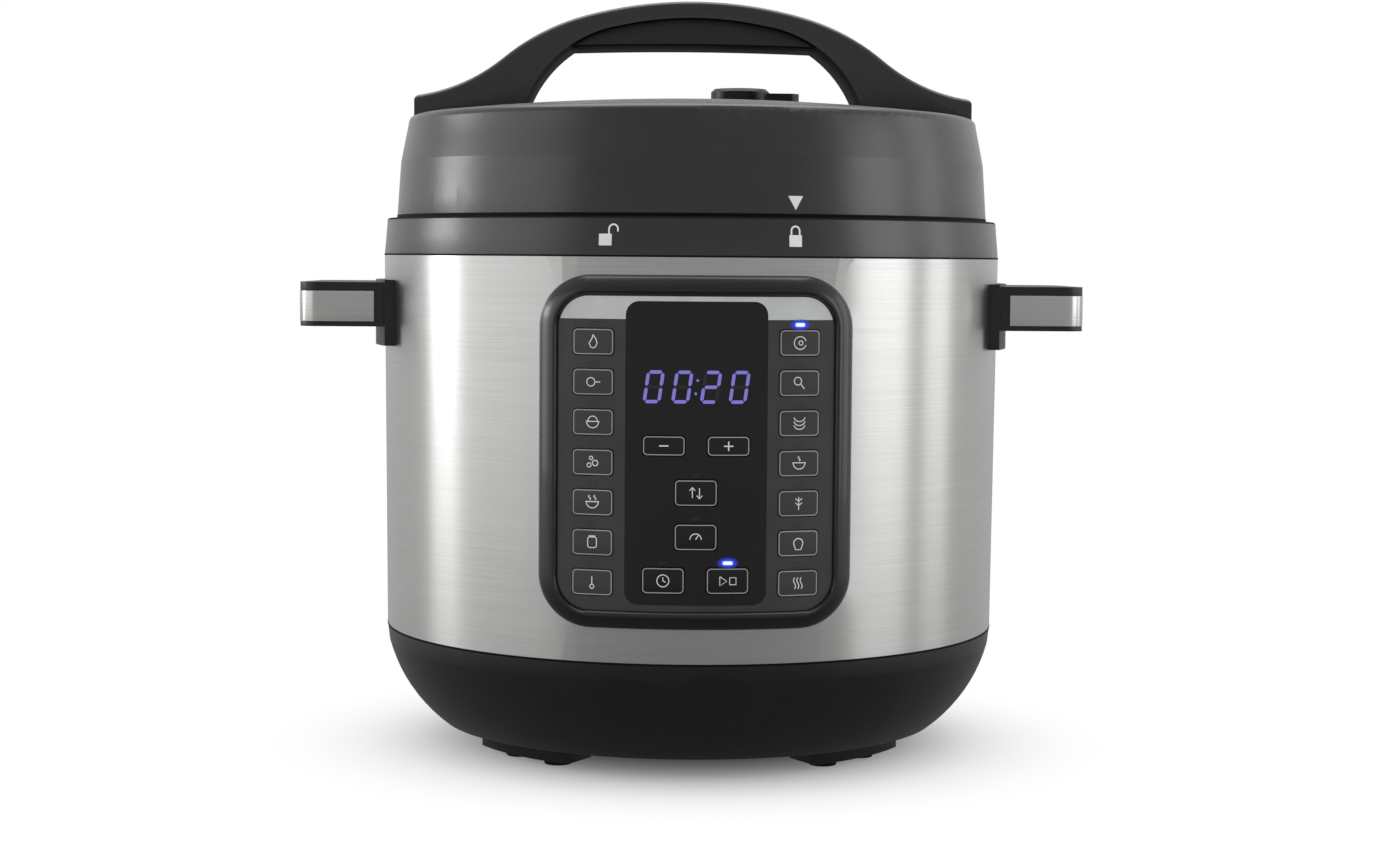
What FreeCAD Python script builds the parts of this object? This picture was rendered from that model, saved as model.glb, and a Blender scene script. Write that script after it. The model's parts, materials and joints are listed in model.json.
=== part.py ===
import FreeCAD, Part
import math
import os

import Sketcher
from FreeCAD import Placement, Rotation, Vector

# Driving sizes in millimetres and degrees. The origin is on the cooker's axis, in the plane of its feet.
SIZES = {
    # rubber feet, plinth and moulded base
    "foot_height": 3.2,
    "foot_radius": 6.5,
    "foot_ring_radius": 98.5,
    "foot_near_angle": 39.0,
    "foot_far_angle": 55.0,
    "plinth_height": 7.5,
    "plinth_radius": 111.0,
    "plinth_width": 20.0,
    "plinth_half_angle": 17.0,
    "base_wall": 3.0,
    "base_floor_radius": 121.5,
    "base_opening_radius": 86.0,
    "base_bowl_height": 39.3,
    "base_bowl_bulge": 72.0,
    "base_band_height": 7.8,
    "base_step": 0.9,
    "base_lip_height": 6.0,
    "base_lip_wall": 3.0,
    "cover_overlap": 9.0,
    "cover_thick": 2.0,
    # steel band
    "shell_bottom_radius": 148.5,
    "shell_top_radius": 150.0,
    "shell_height": 179.5,
    "shell_wall": 0.8,
    # collar with its moat
    "collar_height": 17.4,
    "collar_top_radius": 148.6,
    "collar_edge": 0.8,
    "collar_wall": 3.1,
    "collar_lip_depth": 11.0,
    "moat_depth": 22.2,
    "moat_floor": 2.5,
    # well, bayonet ring and heater
    "liner_radius": 129.3,
    "liner_wall": 2.0,
    "liner_floor_height": 50.0,
    "liner_flange": 17.0,
    "liner_below_collar": 13.7,
    "lock_ring_radius": 138.0,
    "lock_ring_thick": 2.0,
    "lock_ring_bore": 126.5,
    "lug_depth": 4.5,
    "lug_gap_width": 62.0,
    "heater_radius": 112.0,
    "heater_thick": 12.0,
    "element_radius": 72.0,
    "element_tube": 4.5,
    "element_gap_angle": 24.0,
    "terminal_length": 16.0,
    "sensor_radius": 16.0,
    "sensor_rim": 3.5,
    "sensor_skirt_radius": 13.0,
    "sensor_skirt_length": 10.0,
    "sensor_wall": 1.4,
    "sensor_cup_depth": 18.0,
    "sensor_cup_wall": 2.0,
    "spring_radius": 9.0,
    "spring_wire": 0.9,
    "spring_turns": 5.0,
    # electronics in the base
    "board_length": 96.0,
    "board_width": 62.0,
    "board_thick": 1.6,
    "board_post_height": 5.0,
    "board_post_radius": 4.0,
    "relay_length": 22.0,
    "relay_width": 16.0,
    "relay_height": 15.0,
    "capacitor_radius": 8.0,
    "capacitor_height": 14.0,
    # inner pot
    "pot_radius": 118.5,
    "pot_wall": 2.0,
    "pot_corner": 9.0,
    "pot_rim_rise": 3.5,
    "pot_rim_radius": 125.6,
    "pot_rim_thick": 2.0,
    # lid
    "lid_gap": 0.5,
    "lid_bottom_radius": 143.9,
    "lid_kink_radius": 142.1,
    "lid_kink_height": 26.8,
    "lid_shoulder_radius": 138.4,
    "lid_shoulder_height": 18.5,
    "lid_edge_radius": 4.0,
    "lid_dome_rise": 8.0,
    "lid_wall": 3.0,
    "lid_boss_ring_radius": 130.5,
    "lid_boss_radius": 4.2,
    "ring_wall": 1.5,
    "ring_flange_width": 18.5,
    "ring_outer_radius": 142.7,
    "ring_drop": 19.2,
    "ring_lug_height": 2.5,
    "plate_radius": 136.0,
    "plate_thick": 1.8,
    "plate_dish_height": 7.0,
    "plate_dish_foot": 112.0,
    "plate_dish_radius": 90.0,
    "seal_inner_radius": 114.5,
    "seal_lip_width": 5.0,
    "seal_groove_height": 3.5,
    "rack_width": 4.2,
    # lid handle
    "handle_end": 134.0,
    "handle_width": 54.0,
    "handle_end_height": 9.0,
    "handle_bend": 92.0,
    "handle_bend_height": 26.9,
    "handle_hollow_radius": 85.0,
    "handle_shoulder": 52.3,
    "handle_shoulder_height": 47.8,
    "handle_side_radius": 105.0,
    "handle_top_radius": 196.0,
    "arch_foot": 82.0,
    "arch_spring": 79.0,
    "arch_spring_height": 9.5,
    "arch_shoulder": 35.5,
    "arch_shoulder_height": 43.0,
    "arch_side_radius": 58.5,
    "arch_top_radius": 163.5,
    "grip_depth": 44.0,
    "grip_end": 61.2,
    "grip_end_height": 33.1,
    "grip_bow_radius": 1600.0,
    # valves
    "valve_x": 25.6,
    "valve_y": 60.0,
    "valve_knob_radius": 15.0,
    "valve_knob_height": 7.2,
    "valve_knob_lift": 5.0,
    "valve_edge": 1.6,
    "valve_skirt_radius": 9.0,
    "valve_stem_radius": 5.0,
    "valve_stem_length": 16.0,
    "valve_lever_reach": 31.0,
    "valve_lever_width": 13.0,
    "valve_lever_height": 5.0,
    "valve_seat_wall": 3.0,
    "valve_seat_flange": 2.6,
    "valve_seat_rise": 2.8,
    "float_x": -25.6,
    "float_y": 60.0,
    "float_radius": 3.0,
    "float_head_radius": 5.5,
    "float_head_height": 2.5,
    "float_drop": 12.0,
    "float_guide_wall": 3.0,
    "shield_radius": 13.5,
    "shield_wall": 1.5,
    "shield_height": 11.0,
    # side handles
    "side_reach": 187.0,
    "side_half_width": 48.0,
    "side_corner": 10.0,
    "side_height": 21.0,
    "side_drop": 34.3,
    "side_roof": 6.0,
    "side_wall": 4.0,
    "side_root": 156.0,
    "flange_half_width": 51.0,
    "flange_radius": 154.3,
    "flange_drop": 9.0,
    "flange_rise": 1.2,
    "trim_bottom_gap": 2.4,
    "trim_height": 14.4,
    "trim_start": 151.0,
    "trim_thick": 0.8,
    "trim_proud": 0.2,
    # control panel
    "bezel_half_width": 69.2,
    "bezel_above_base": 16.1,
    "bezel_below_collar": 8.2,
    "bezel_corner": 23.0,
    "bezel_radius": 154.6,
    "bezel_edge": 2.0,
    "ledge_width": 3.0,
    "face_radius": 152.6,
    "overlay_half_width": 60.6,
    "overlay_frame_bottom": 8.2,
    "overlay_frame_top": 8.9,
    "overlay_corner": 14.0,
    "overlay_thick": 2.2,
    "window_half_width": 31.0,
    "window_border_bottom": 2.9,
    "window_border_top": 2.4,
    "window_corner": 6.0,
    "shell_cut_margin": 3.2,
    "carrier_radius": 148.3,
    "carrier_thick": 1.8,
    "control_board_back": 131.0,
    "control_board_half_width": 48.0,
    "control_post_radius": 3.5,
    "control_post_x": 42.0,
    "control_post_inset": 10.0,
    "key_width": 18.6,
    "key_gap": 6.1,
    "key_corner": 1.6,
    "key_proud": 0.4,
    "key_depth": 3.0,
    "step_key_height": 8.7,
    "column_angle": 17.2,
    "row_top_inset": 20.3,
    "row_bottom_inset": 12.2,
    "pair_angle": 5.3,
    "pair_inset": 13.7,
    "pair_pitch": 19.2,
    "single_pitch": 19.4,
    "step_pitch": 20.5,
    "light_width": 5.2,
    "light_height": 2.0,
    "light_gap": 1.15,
    "light_proud": 0.1,
    # back of the cooker
    "holder_half_width": 30.0,
    "holder_drop": 71.3,
    "holder_height": 52.0,
    "holder_radius": 153.0,
    "peg_half_gap": 17.0,
    "peg_width": 6.0,
    "peg_height": 12.0,
    "peg_length": 7.0,
    "peg_above": 30.0,
    "cup_half_width": 31.0,
    "cup_depth": 23.0,
    "cup_height": 58.0,
    "cup_wall": 2.0,
    "inlet_half_width": 14.5,
    "inlet_bottom": 18.5,
    "inlet_height": 21.5,
    "inlet_front": 143.0,
    "inlet_length": 32.0,
    "inlet_wall": 2.5,
    "inlet_socket_depth": 19.0,
    "pin_length": 13.0,
    "pin_width": 4.0,
    "pin_thick": 2.0,
    "pin_spacing": 7.0,
    "pin_drop": 4.0,
    # screws
    "screw_radius": 1.6,
    "screw_head_radius": 3.2,
    "screw_head_height": 1.8,
    "side_screw_spacing": 60.0,
    "side_screw_length": 9.0,
    # clearances
    "gap": 0.3,
    "fit": 0.05,
}

ROWS = 7
LUGS = 6
Z_AXIS = Vector(0, 0, 1)
TURNS = {
    "Z": Rotation(),
    "Y": Rotation(Vector(1, 0, 0), -90),
    "X": Rotation(Vector(0, 1, 0), 90),
}

doc = FreeCAD.newDocument("pressure_cooker")
nodes = []


class Size:
    """A size that carries its number and the sheet formula it comes from."""

    def __init__(self, value, text):
        self.value = value
        self.text = text

    def __add__(self, other):
        other = as_size(other)
        return Size(self.value + other.value, f"({self.text} + {other.text})")

    def __radd__(self, other):
        return as_size(other) + self

    def __sub__(self, other):
        other = as_size(other)
        return Size(self.value - other.value, f"({self.text} - {other.text})")

    def __rsub__(self, other):
        return as_size(other) - self

    def __mul__(self, other):
        other = as_size(other)
        return Size(self.value * other.value, f"({self.text} * {other.text})")

    def __rmul__(self, other):
        return as_size(other) * self

    def __truediv__(self, other):
        other = as_size(other)
        return Size(self.value / other.value, f"({self.text} / {other.text})")

    def __neg__(self):
        return 0 - self


def as_size(value):
    """Wrap a plain number so that it can stand in a formula."""
    if isinstance(value, Size):
        return value
    return Size(float(value), f"({float(value)})")


def root(value):
    """Square root of a size."""
    return Size(math.sqrt(value.value), f"sqrt({value.text})")


def turned(radius, angle):
    """X and Y of the point at a radius and an angle in degrees from +X."""
    angle = as_size(angle)
    radians = math.radians(angle.value)
    x = Size(radius.value * math.cos(radians), f"({radius.text} * cos({angle.text}))")
    y = Size(radius.value * math.sin(radians), f"({radius.text} * sin({angle.text}))")
    return x, y


class Sizes:
    """The sheet's cells, read as attributes."""

    def __init__(self):
        sheet = doc.addObject("Spreadsheet::Sheet", "Sizes")
        for row, (alias, value) in enumerate(SIZES.items(), start=1):
            sheet.set(f"A{row}", alias)
            sheet.set(f"B{row}", str(value))
            sheet.setAlias(f"B{row}", alias)
            setattr(self, alias, Size(value, f"Sizes.{alias}"))


s = Sizes()
doc.recompute()


def bind(thing, **sizes):
    """Tie an object's properties to the sheet."""
    for prop, size in sizes.items():
        thing.setExpression(prop, as_size(size).text)
    return thing


def place(thing, x=0, y=0, z=0, along="Z"):
    """Put an object at a point, with its own Z axis along the named axis."""
    thing.Placement = Placement(Vector(), TURNS[along])
    for prop, size in (("x", x), ("y", y), ("z", z)):
        thing.setExpression(f"Placement.Base.{prop}", as_size(size).text)
    return thing


def turn(thing, angle):
    """Turn a finished piece about the cooker's axis."""
    angle = as_size(angle)
    thing.Placement = Placement(Vector(), Rotation(Z_AXIS, 1.0))
    thing.setExpression("Placement.Rotation.Angle", angle.text)
    return thing


def cylinder(radius, height, x=0, y=0, z=0, along="Z"):
    thing = bind(doc.addObject("Part::Cylinder", "round"), Radius=radius, Height=height)
    return place(thing, x, y, z, along)


def cone(low_radius, high_radius, height, z):
    thing = doc.addObject("Part::Cone", "taper")
    bind(thing, Radius1=low_radius, Radius2=high_radius, Height=height)
    return place(thing, 0, 0, z)


def block(low, high):
    """A box between two corners."""
    thing = doc.addObject("Part::Box", "block")
    length, width, height = (as_size(high[i]) - as_size(low[i]) for i in range(3))
    bind(thing, Length=length, Width=width, Height=height)
    return place(thing, *low)


def cut(base, *tools):
    """What is left of a piece when the tools are taken out of it."""
    for tool in tools:
        result = doc.addObject("Part::Cut", "cut")
        result.Base = base
        result.Tool = tool
        base = result
    return base


def cut_group(base, tools):
    """What is left of a piece when tools that stay apart are taken out of it at once."""
    return cut(base, group(*tools))


def common(base, tool):
    result = doc.addObject("Part::Common", "common")
    result.Base = base
    result.Tool = tool
    return result


def fuse(*things):
    result = doc.addObject("Part::MultiFuse", "fuse")
    result.Shapes = list(things)
    result.Refine = True
    return result


def group(*things):
    """Separate solids that count as one piece."""
    result = doc.addObject("Part::Compound", "group")
    result.Links = list(things)
    return result


def node(label, thing):
    """Name a finished sub-part."""
    thing.Label = label
    nodes.append(thing)
    return thing


def arc_between(start, end, radius, side):
    """The shorter arc from start to end, turning left for side 1 and right for side -1."""
    chord = end - start
    rise = math.sqrt(max(radius * radius - chord.Length ** 2 / 4, 0.0))
    across = Vector(-chord.y, chord.x, 0).normalize()
    centre = (start + end) / 2 + across * (rise * side)
    first, last = (start, end) if side > 0 else (end, start)
    angles = [math.atan2(p.y - centre.y, p.x - centre.x) for p in (first, last)]
    return Part.ArcOfCircle(Part.Circle(centre, Z_AXIS, radius), *angles)


def draw(sketch, path):
    """Draw a closed outline. Each step is (x, y), or (x, y, radius, side) where an arc leads to the point."""
    points = [Vector(as_size(step[0]).value, as_size(step[1]).value, 0) for step in path]
    ends = []
    for index, step in enumerate(path):
        start, end = points[index - 1], points[index]
        if len(step) == 2:
            sketch.addGeometry(Part.LineSegment(start, end))
            ends.append((1, 2))
        else:
            sketch.addGeometry(arc_between(start, end, as_size(step[2]).value, step[3]))
            ends.append((1, 2) if step[3] > 0 else (2, 1))
    hold(sketch, path, ends)


def hold(sketch, path, ends):
    """Join the outline's segments and tie every point and radius to the sheet."""
    rules = []
    for index, step in enumerate(path):
        after = (index + 1) % len(path)
        rules.append((Sketcher.Constraint("Coincident", index, ends[index][1], after, ends[after][0]), None))
        for kind, axis, size in (("DistanceX", -2, step[0]), ("DistanceY", -1, step[1])):
            rules.append(tie(kind, axis, index, ends[index][1], as_size(size)))
        if len(step) == 4:
            radius = as_size(step[2])
            rules.append((Sketcher.Constraint("Radius", index, radius.value), radius))
    sketch.addConstraint([rule for rule, size in rules])
    for number, (rule, size) in enumerate(rules):
        if size is not None:
            sketch.setExpression(f"Constraints[{number}]", size.text)


def tie(kind, axis, geometry, end, size):
    """Hold one coordinate of a point at a size from the sheet, or on the axis."""
    if size.value == 0:
        return Sketcher.Constraint("PointOnObject", geometry, end, axis), None
    return Sketcher.Constraint(kind, -1, 1, geometry, end, size.value), size


def sketched(name, plane, path, offset=0):
    """A new body with one sketch on one of its own origin planes."""
    body = doc.addObject("PartDesign::Body", name)
    sketch = body.newObject("Sketcher::SketchObject", f"{name}_outline")
    support = next(item for item in body.Origin.OriginFeatures if item.Role == plane)
    sketch.AttachmentSupport = [(support, "")]
    sketch.MapMode = "FlatFace"
    sketch.setExpression("AttachmentOffset.Base.z", as_size(offset).text)
    draw(sketch, path)
    return body, sketch


def revolved(name, path):
    """A piece turned about the cooker's axis from (radius, height) points."""
    body, sketch = sketched(name, "XZ_Plane", path)
    turned_piece = body.newObject("PartDesign::Revolution", f"{name}_turned")
    turned_piece.Profile = sketch
    turned_piece.ReferenceAxis = (sketch, ["V_Axis"])
    turned_piece.Angle = 360
    return body


def padded(name, path, low, high, plane="XZ_Plane"):
    """A piece of constant outline from low to high along Y, or along Z on the XY plane."""
    low, high = as_size(low), as_size(high)
    body, sketch = sketched(name, plane, path, -high if plane == "XZ_Plane" else low)
    pad = body.newObject("PartDesign::Pad", f"{name}_pad")
    pad.Profile = sketch
    bind(pad, Length=high - low)
    return body


def rounded(left, right, low, high, corner):
    """A rectangle with four rounded corners."""
    return [
        (right - corner, low),
        (right, low + corner, corner, 1),
        (right, high - corner),
        (right - corner, high, corner, 1),
        (left + corner, high),
        (left, high - corner, corner, 1),
        (left, low + corner),
        (left + corner, low, corner, 1),
    ]


def tube(outer, inner, low, high):
    """A plain ring about the cooker's axis."""
    return cut(cylinder(outer, high - low, z=low), cylinder(inner, high - low, z=low))


# Heights and radii that several pieces share.
base_floor = s.foot_height + s.plinth_height
bowl_top = base_floor + s.base_bowl_height
base_top = bowl_top + s.base_band_height
shell_top = base_top + s.shell_height
collar_top = shell_top + s.collar_height
lid_bottom = collar_top + s.lid_gap
lid_kink = lid_bottom + s.lid_kink_height
lid_shoulder = lid_kink + s.lid_shoulder_height
dome_edge = lid_shoulder + s.lid_edge_radius
dome_radius = s.lid_shoulder_radius - s.lid_edge_radius
dome_top = dome_edge + s.lid_dome_rise
dome_curve = (dome_radius * dome_radius + s.lid_dome_rise * s.lid_dome_rise) / (2 * s.lid_dome_rise)
cover_inside = base_floor + s.base_wall
plate_bottom = lid_bottom
plate_top = plate_bottom + s.plate_thick
dish_top = plate_top + s.plate_dish_height
liner_top = collar_top - s.liner_below_collar
lock_top = liner_top + s.lock_ring_thick
heater_top = s.liner_floor_height + s.heater_thick
pot_rim = liner_top + s.pot_rim_rise
side_bottom = shell_top - s.side_drop
side_top = side_bottom + s.side_height
holder_bottom = shell_top - s.holder_drop
bezel_bottom = base_top + s.bezel_above_base
bezel_top = shell_top - s.bezel_below_collar
overlay_bottom = bezel_bottom + s.overlay_frame_bottom
overlay_top = bezel_top - s.overlay_frame_top
window_bottom = overlay_bottom + s.window_border_bottom
window_top = overlay_top - s.window_border_top
row_top = overlay_top - s.row_top_inset
row_pitch = (row_top - overlay_bottom - s.row_bottom_inset) / (ROWS - 1)
key_height = row_pitch - s.key_gap
pair_row = overlay_bottom + s.pair_inset
single_row_low = pair_row + s.pair_pitch
single_row_high = single_row_low + s.single_pitch
step_row = single_row_high + s.step_pitch
light_rise = (key_height + s.light_height) / 2 + s.light_gap
far = 2 * s.side_reach


def shell_radius(height, inset=0):
    """Radius of the tapered steel band at a height."""
    slope = (s.shell_top_radius - s.shell_bottom_radius) / s.shell_height
    return s.shell_bottom_radius + slope * (height - base_top) - inset


def shell_core(inset=0):
    """The tapered solid inside the steel band's surface, for shaping what sits on it."""
    return cone(s.shell_bottom_radius - inset, s.shell_top_radius - inset, s.shell_height, base_top)


def dome_height(radius):
    """Height of the lid's outer dome at a distance from the axis."""
    return dome_top - dome_curve + root(dome_curve * dome_curve - radius * radius)


def make_base():
    floor_in = s.base_floor_radius - s.base_wall
    band_radius = s.shell_bottom_radius - s.base_step
    inside = band_radius - s.base_wall
    lip = s.shell_bottom_radius - s.shell_wall - s.gap
    bowl = revolved("bowl", [
        (s.base_opening_radius, base_floor),
        (s.base_floor_radius, base_floor),
        (band_radius, bowl_top, s.base_bowl_bulge, 1),
        (s.shell_bottom_radius, base_top),
        (lip, base_top),
        (lip, base_top + s.base_lip_height),
        (lip - s.base_lip_wall, base_top + s.base_lip_height),
        (inside, bowl_top),
        (floor_in, cover_inside, s.base_bowl_bulge - s.base_wall, -1),
        (s.base_opening_radius, cover_inside),
    ])
    piece = fuse(bowl, *plinth_arcs())
    hole = grown_inlet(s.gap)
    shafts = [cylinder(s.screw_radius + s.fit, far, *spot, -far / 2) for spot in base_screw_spots()]
    node("base_housing", cut(piece, hole, *shafts))


def plinth_arcs():
    """Four raised arcs under the floor that carry the feet."""
    middle = (s.foot_near_angle + s.foot_far_angle) / 2
    arcs = []
    for sign, quarter in ((1, -90), (-1, -90), (1, 90), (-1, 90)):
        ring = tube(s.plinth_radius, s.plinth_radius - s.plinth_width, s.foot_height, base_floor)
        width, _ = turned(far, 90 - s.plinth_half_angle)
        wedge = padded("foot_wedge", [(0, 0), (far, -width), (far, width)], s.foot_height, base_floor, "XY_Plane")
        wedge_turned = turn(group(wedge), quarter + sign * middle)
        arcs.append(common(ring, wedge_turned))
    return arcs


def make_feet():
    pads = []
    for quarter in (-90, 90):
        for sign in (1, -1):
            for angle in (s.foot_near_angle, s.foot_far_angle):
                spot = turned(s.foot_ring_radius, quarter + sign * angle)
                pads.append(cylinder(s.foot_radius, s.foot_height, *spot))
    node("foot_pads", group(*pads))


def base_screw_spots():
    radius = s.base_opening_radius + s.cover_overlap / 2
    return [turned(radius, angle) for angle in (0, 90, 180, 270)]


def make_bottom_cover():
    low, high = cover_inside, cover_inside + s.cover_thick
    disc = cylinder(s.base_opening_radius + s.cover_overlap, s.cover_thick, z=low)
    posts = []
    for x in (-1, 1):
        for y in (-1, 1):
            inset = s.board_post_radius
            spot = ((s.board_length / 2 - inset) * x, (s.board_width / 2 - inset) * y)
            posts.append(cylinder(s.board_post_radius, s.board_post_height, *spot, high))
    shafts = [cylinder(s.screw_radius + s.fit, far, *spot, -far / 2) for spot in base_screw_spots()]
    node("bottom_cover", cut(fuse(disc, *posts), *shafts))


def screw(x, y, z, length):
    """A pan head screw that points up from its head's seat."""
    head = cylinder(s.screw_head_radius, s.screw_head_height, x, y, z - s.screw_head_height)
    return fuse(head, cylinder(s.screw_radius, length, x, y, z))


def side_screw_seat():
    """How far out the inner wall of the steel band is where a side handle's screws pass."""
    wall = shell_radius(side_screw_height(), s.shell_wall)
    outer_edge = s.side_screw_spacing / 2 + s.screw_head_radius
    return root(wall * wall - outer_edge * outer_edge)


def side_screw_height():
    return side_top - s.side_roof / 2 - s.screw_head_radius


def make_body_screws():
    screws = []
    for spot in base_screw_spots():
        screws.append(screw(*spot, base_floor, s.base_wall + s.cover_thick))
    seat = side_screw_seat()
    for side in (1, -1):
        for across in (1, -1):
            y = s.side_screw_spacing / 2 * across
            start = seat if side > 0 else -seat - s.side_screw_length
            head = seat - s.screw_head_height if side > 0 else -seat
            shank = cylinder(s.screw_radius, s.side_screw_length, start, y, side_screw_height(), "X")
            cap = cylinder(s.screw_head_radius, s.screw_head_height, head, y, side_screw_height(), "X")
            screws.append(fuse(shank, cap))
    node("body_screws", group(*screws))


def side_screw_bores():
    bores = []
    for across in (1, -1):
        y = s.side_screw_spacing / 2 * across
        bores.append(cylinder(s.screw_radius + s.fit, 2 * far, -far, y, side_screw_height(), "X"))
    return bores


def make_shell():
    wall = s.shell_wall
    skin = cut(shell_core(), shell_core(wall))
    window = panel_prism(s.overlay_half_width + s.shell_cut_margin, overlay_bottom - s.shell_cut_margin,
                         overlay_top + s.shell_cut_margin, s.overlay_corner)
    node("outer_shell", cut(skin, window, *side_screw_bores()))


def make_collar():
    moat_wall = s.collar_top_radius - s.collar_wall
    floor_top = collar_top - s.moat_depth
    floor_low = floor_top - s.moat_floor
    lip_radius = s.shell_bottom_radius
    lip_low = shell_top - s.collar_lip_depth
    bore = s.liner_radius + s.gap
    node("top_collar", revolved("collar", [
        (s.shell_top_radius, shell_top),
        (s.collar_top_radius, collar_top - s.collar_edge),
        (s.collar_top_radius - s.collar_edge, collar_top),
        (moat_wall, collar_top),
        (moat_wall, floor_top),
        (bore, floor_top),
        (bore, floor_low),
        (moat_wall, floor_low),
        (moat_wall, lip_low),
        (lip_radius, lip_low),
        (lip_radius, shell_top),
    ]))


def make_liner():
    bore = s.liner_radius - s.liner_wall
    low = s.liner_floor_height
    node("inner_liner", revolved("liner", [
        (s.liner_radius - s.liner_flange, low),
        (s.liner_radius, low),
        (s.liner_radius, liner_top),
        (bore, liner_top),
        (bore, low + s.liner_wall),
        (s.liner_radius - s.liner_flange, low + s.liner_wall),
    ]))


def lug_gaps(inner, outer, low, high, angle_offset):
    """Blocks that cut a ring's edge into separate lugs."""
    gaps = []
    for index in range(LUGS):
        gap = block((inner, -s.lug_gap_width / 2, low), (outer, s.lug_gap_width / 2, high))
        gaps.append(turn(group(gap), angle_offset + index * 360 / LUGS))
    return gaps


def make_lock_ring():
    ring = tube(s.lock_ring_radius, s.lock_ring_bore, liner_top, lock_top)
    inner = s.lock_ring_radius - s.lug_depth
    node("lock_ring", cut(ring, *lug_gaps(inner, far, liner_top, lock_top, 0)))


def make_heater():
    bore = s.sensor_radius + s.gap
    low = s.liner_floor_height
    node("heating_plate", tube(s.heater_radius, bore, low, heater_top))


def make_element():
    low = s.liner_floor_height - s.element_tube
    ring = doc.addObject("Part::Torus", "element_ring")
    bind(ring, Radius1=s.element_radius, Radius2=s.element_tube, Angle3=360 - s.element_gap_angle)
    place(ring, 0, 0, low)
    start = turned(s.element_radius, 0)
    end = turned(s.element_radius, -s.element_gap_angle)
    legs = [cylinder(s.element_tube, s.terminal_length, *spot, low - s.terminal_length) for spot in (start, end)]
    node("heating_element", fuse(ring, *legs))


def sensor_floor():
    return s.liner_floor_height - s.sensor_cup_depth


def make_sensor():
    skirt_low = heater_top - s.sensor_rim - s.sensor_skirt_length
    crown = heater_top - s.sensor_rim + s.sensor_wall
    node("sensor_cap", revolved("sensor", [
        (0, heater_top),
        (s.sensor_radius, heater_top),
        (s.sensor_radius, heater_top - s.sensor_rim),
        (s.sensor_skirt_radius, heater_top - s.sensor_rim),
        (s.sensor_skirt_radius, skirt_low),
        (s.sensor_skirt_radius - s.sensor_wall, skirt_low),
        (s.sensor_skirt_radius - s.sensor_wall, crown),
        (0, crown),
    ]))
    inner = s.sensor_radius + s.gap
    outer = inner + s.sensor_cup_wall
    node("sensor_bracket", revolved("sensor_cup", [
        (0, sensor_floor()),
        (outer, sensor_floor()),
        (outer, s.liner_floor_height),
        (inner, s.liner_floor_height),
        (inner, sensor_floor() + s.sensor_cup_wall),
        (0, sensor_floor() + s.sensor_cup_wall),
    ]))
    make_sensor_spring(sensor_floor() + s.sensor_cup_wall, crown)


def make_sensor_spring(low, high):
    """A coil spring between the bracket's floor and the cap's crown."""
    rise = high - low - 2 * s.spring_wire
    helix = doc.addObject("Part::Helix", "spring_path")
    bind(helix, Radius=s.spring_radius, Height=rise, Pitch=rise / s.spring_turns)
    place(helix, 0, 0, low + s.spring_wire)
    ring = bind(doc.addObject("Part::Circle", "spring_wire"), Radius=s.spring_wire)
    place(ring, s.spring_radius, 0, low + s.spring_wire, "Y")
    spring = doc.addObject("Part::Sweep", "spring")
    spring.Sections = [ring]
    spring.Spine = (helix, [])
    spring.Solid = True
    spring.Frenet = True
    node("sensor_spring", spring)


def make_power_board():
    low = cover_inside + s.cover_thick + s.board_post_height
    high = low + s.board_thick
    half_x, half_y = s.board_length / 2, s.board_width / 2
    board = block((-half_x, -half_y, low), (half_x, half_y, high))
    relay_start = s.board_post_radius - half_x
    relay = block((relay_start, -s.relay_width / 2, high),
                  (relay_start + s.relay_length, s.relay_width / 2, high + s.relay_height))
    can = cylinder(s.capacitor_radius, s.capacitor_height, half_x - 2 * s.capacitor_radius, 0, high)
    node("power_board", fuse(board, relay, can))


def make_pot():
    low = heater_top
    inside = s.pot_radius - s.pot_wall
    floor = low + s.pot_wall
    inner_corner = s.pot_corner - s.pot_wall
    node("inner_pot", revolved("pot", [
        (0, low),
        (s.pot_radius - s.pot_corner, low),
        (s.pot_radius, low + s.pot_corner, s.pot_corner, 1),
        (s.pot_radius, pot_rim - s.pot_rim_thick),
        (s.pot_rim_radius, pot_rim - s.pot_rim_thick),
        (s.pot_rim_radius, pot_rim),
        (inside, pot_rim),
        (inside, floor + inner_corner),
        (inside - inner_corner, floor, inner_corner, -1),
        (0, floor),
    ]))


def lid_outline(grow):
    """Outer profile of the lid from its lower edge to its top, moved outwards by grow."""
    return [
        (s.lid_bottom_radius + grow, lid_bottom),
        (s.lid_kink_radius + grow, lid_kink),
        (s.lid_shoulder_radius + grow, lid_shoulder),
        (dome_radius, dome_edge + grow, s.lid_edge_radius + grow, 1),
        (0, dome_top + grow, dome_curve, 1),
    ]


def lid_boss_spots():
    return [turned(s.lid_boss_ring_radius, angle) for angle in (45, 135, 225, 315)]


def make_lid_cover():
    wall = s.lid_wall
    inner = dome_radius - wall
    inner_curve = (inner * inner + s.lid_dome_rise * s.lid_dome_rise) / (2 * s.lid_dome_rise)
    shell = revolved("lid", lid_outline(0) + [
        (0, dome_top - wall),
        (inner, dome_edge - wall, inner_curve, -1),
        (s.lid_shoulder_radius - wall, lid_shoulder - wall),
        (s.lid_kink_radius - wall, lid_kink),
        (s.lid_bottom_radius - wall, lid_bottom),
    ])
    rise = dome_edge - wall / 2 - plate_top
    bosses = [cylinder(s.lid_boss_radius, rise, *spot, plate_top) for spot in lid_boss_spots()]
    holes = [cylinder(s.screw_radius + s.fit, rise / 2, *spot, plate_top) for spot in lid_boss_spots()]
    holes.append(cylinder(s.valve_stem_radius + s.valve_seat_wall + s.gap, far, s.valve_x, s.valve_y, plate_top))
    holes.append(cylinder(s.float_radius + s.gap, far, s.float_x, s.float_y, plate_top))
    node("lid_cover", cut(fuse(shell, *bosses), *holes))


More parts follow.
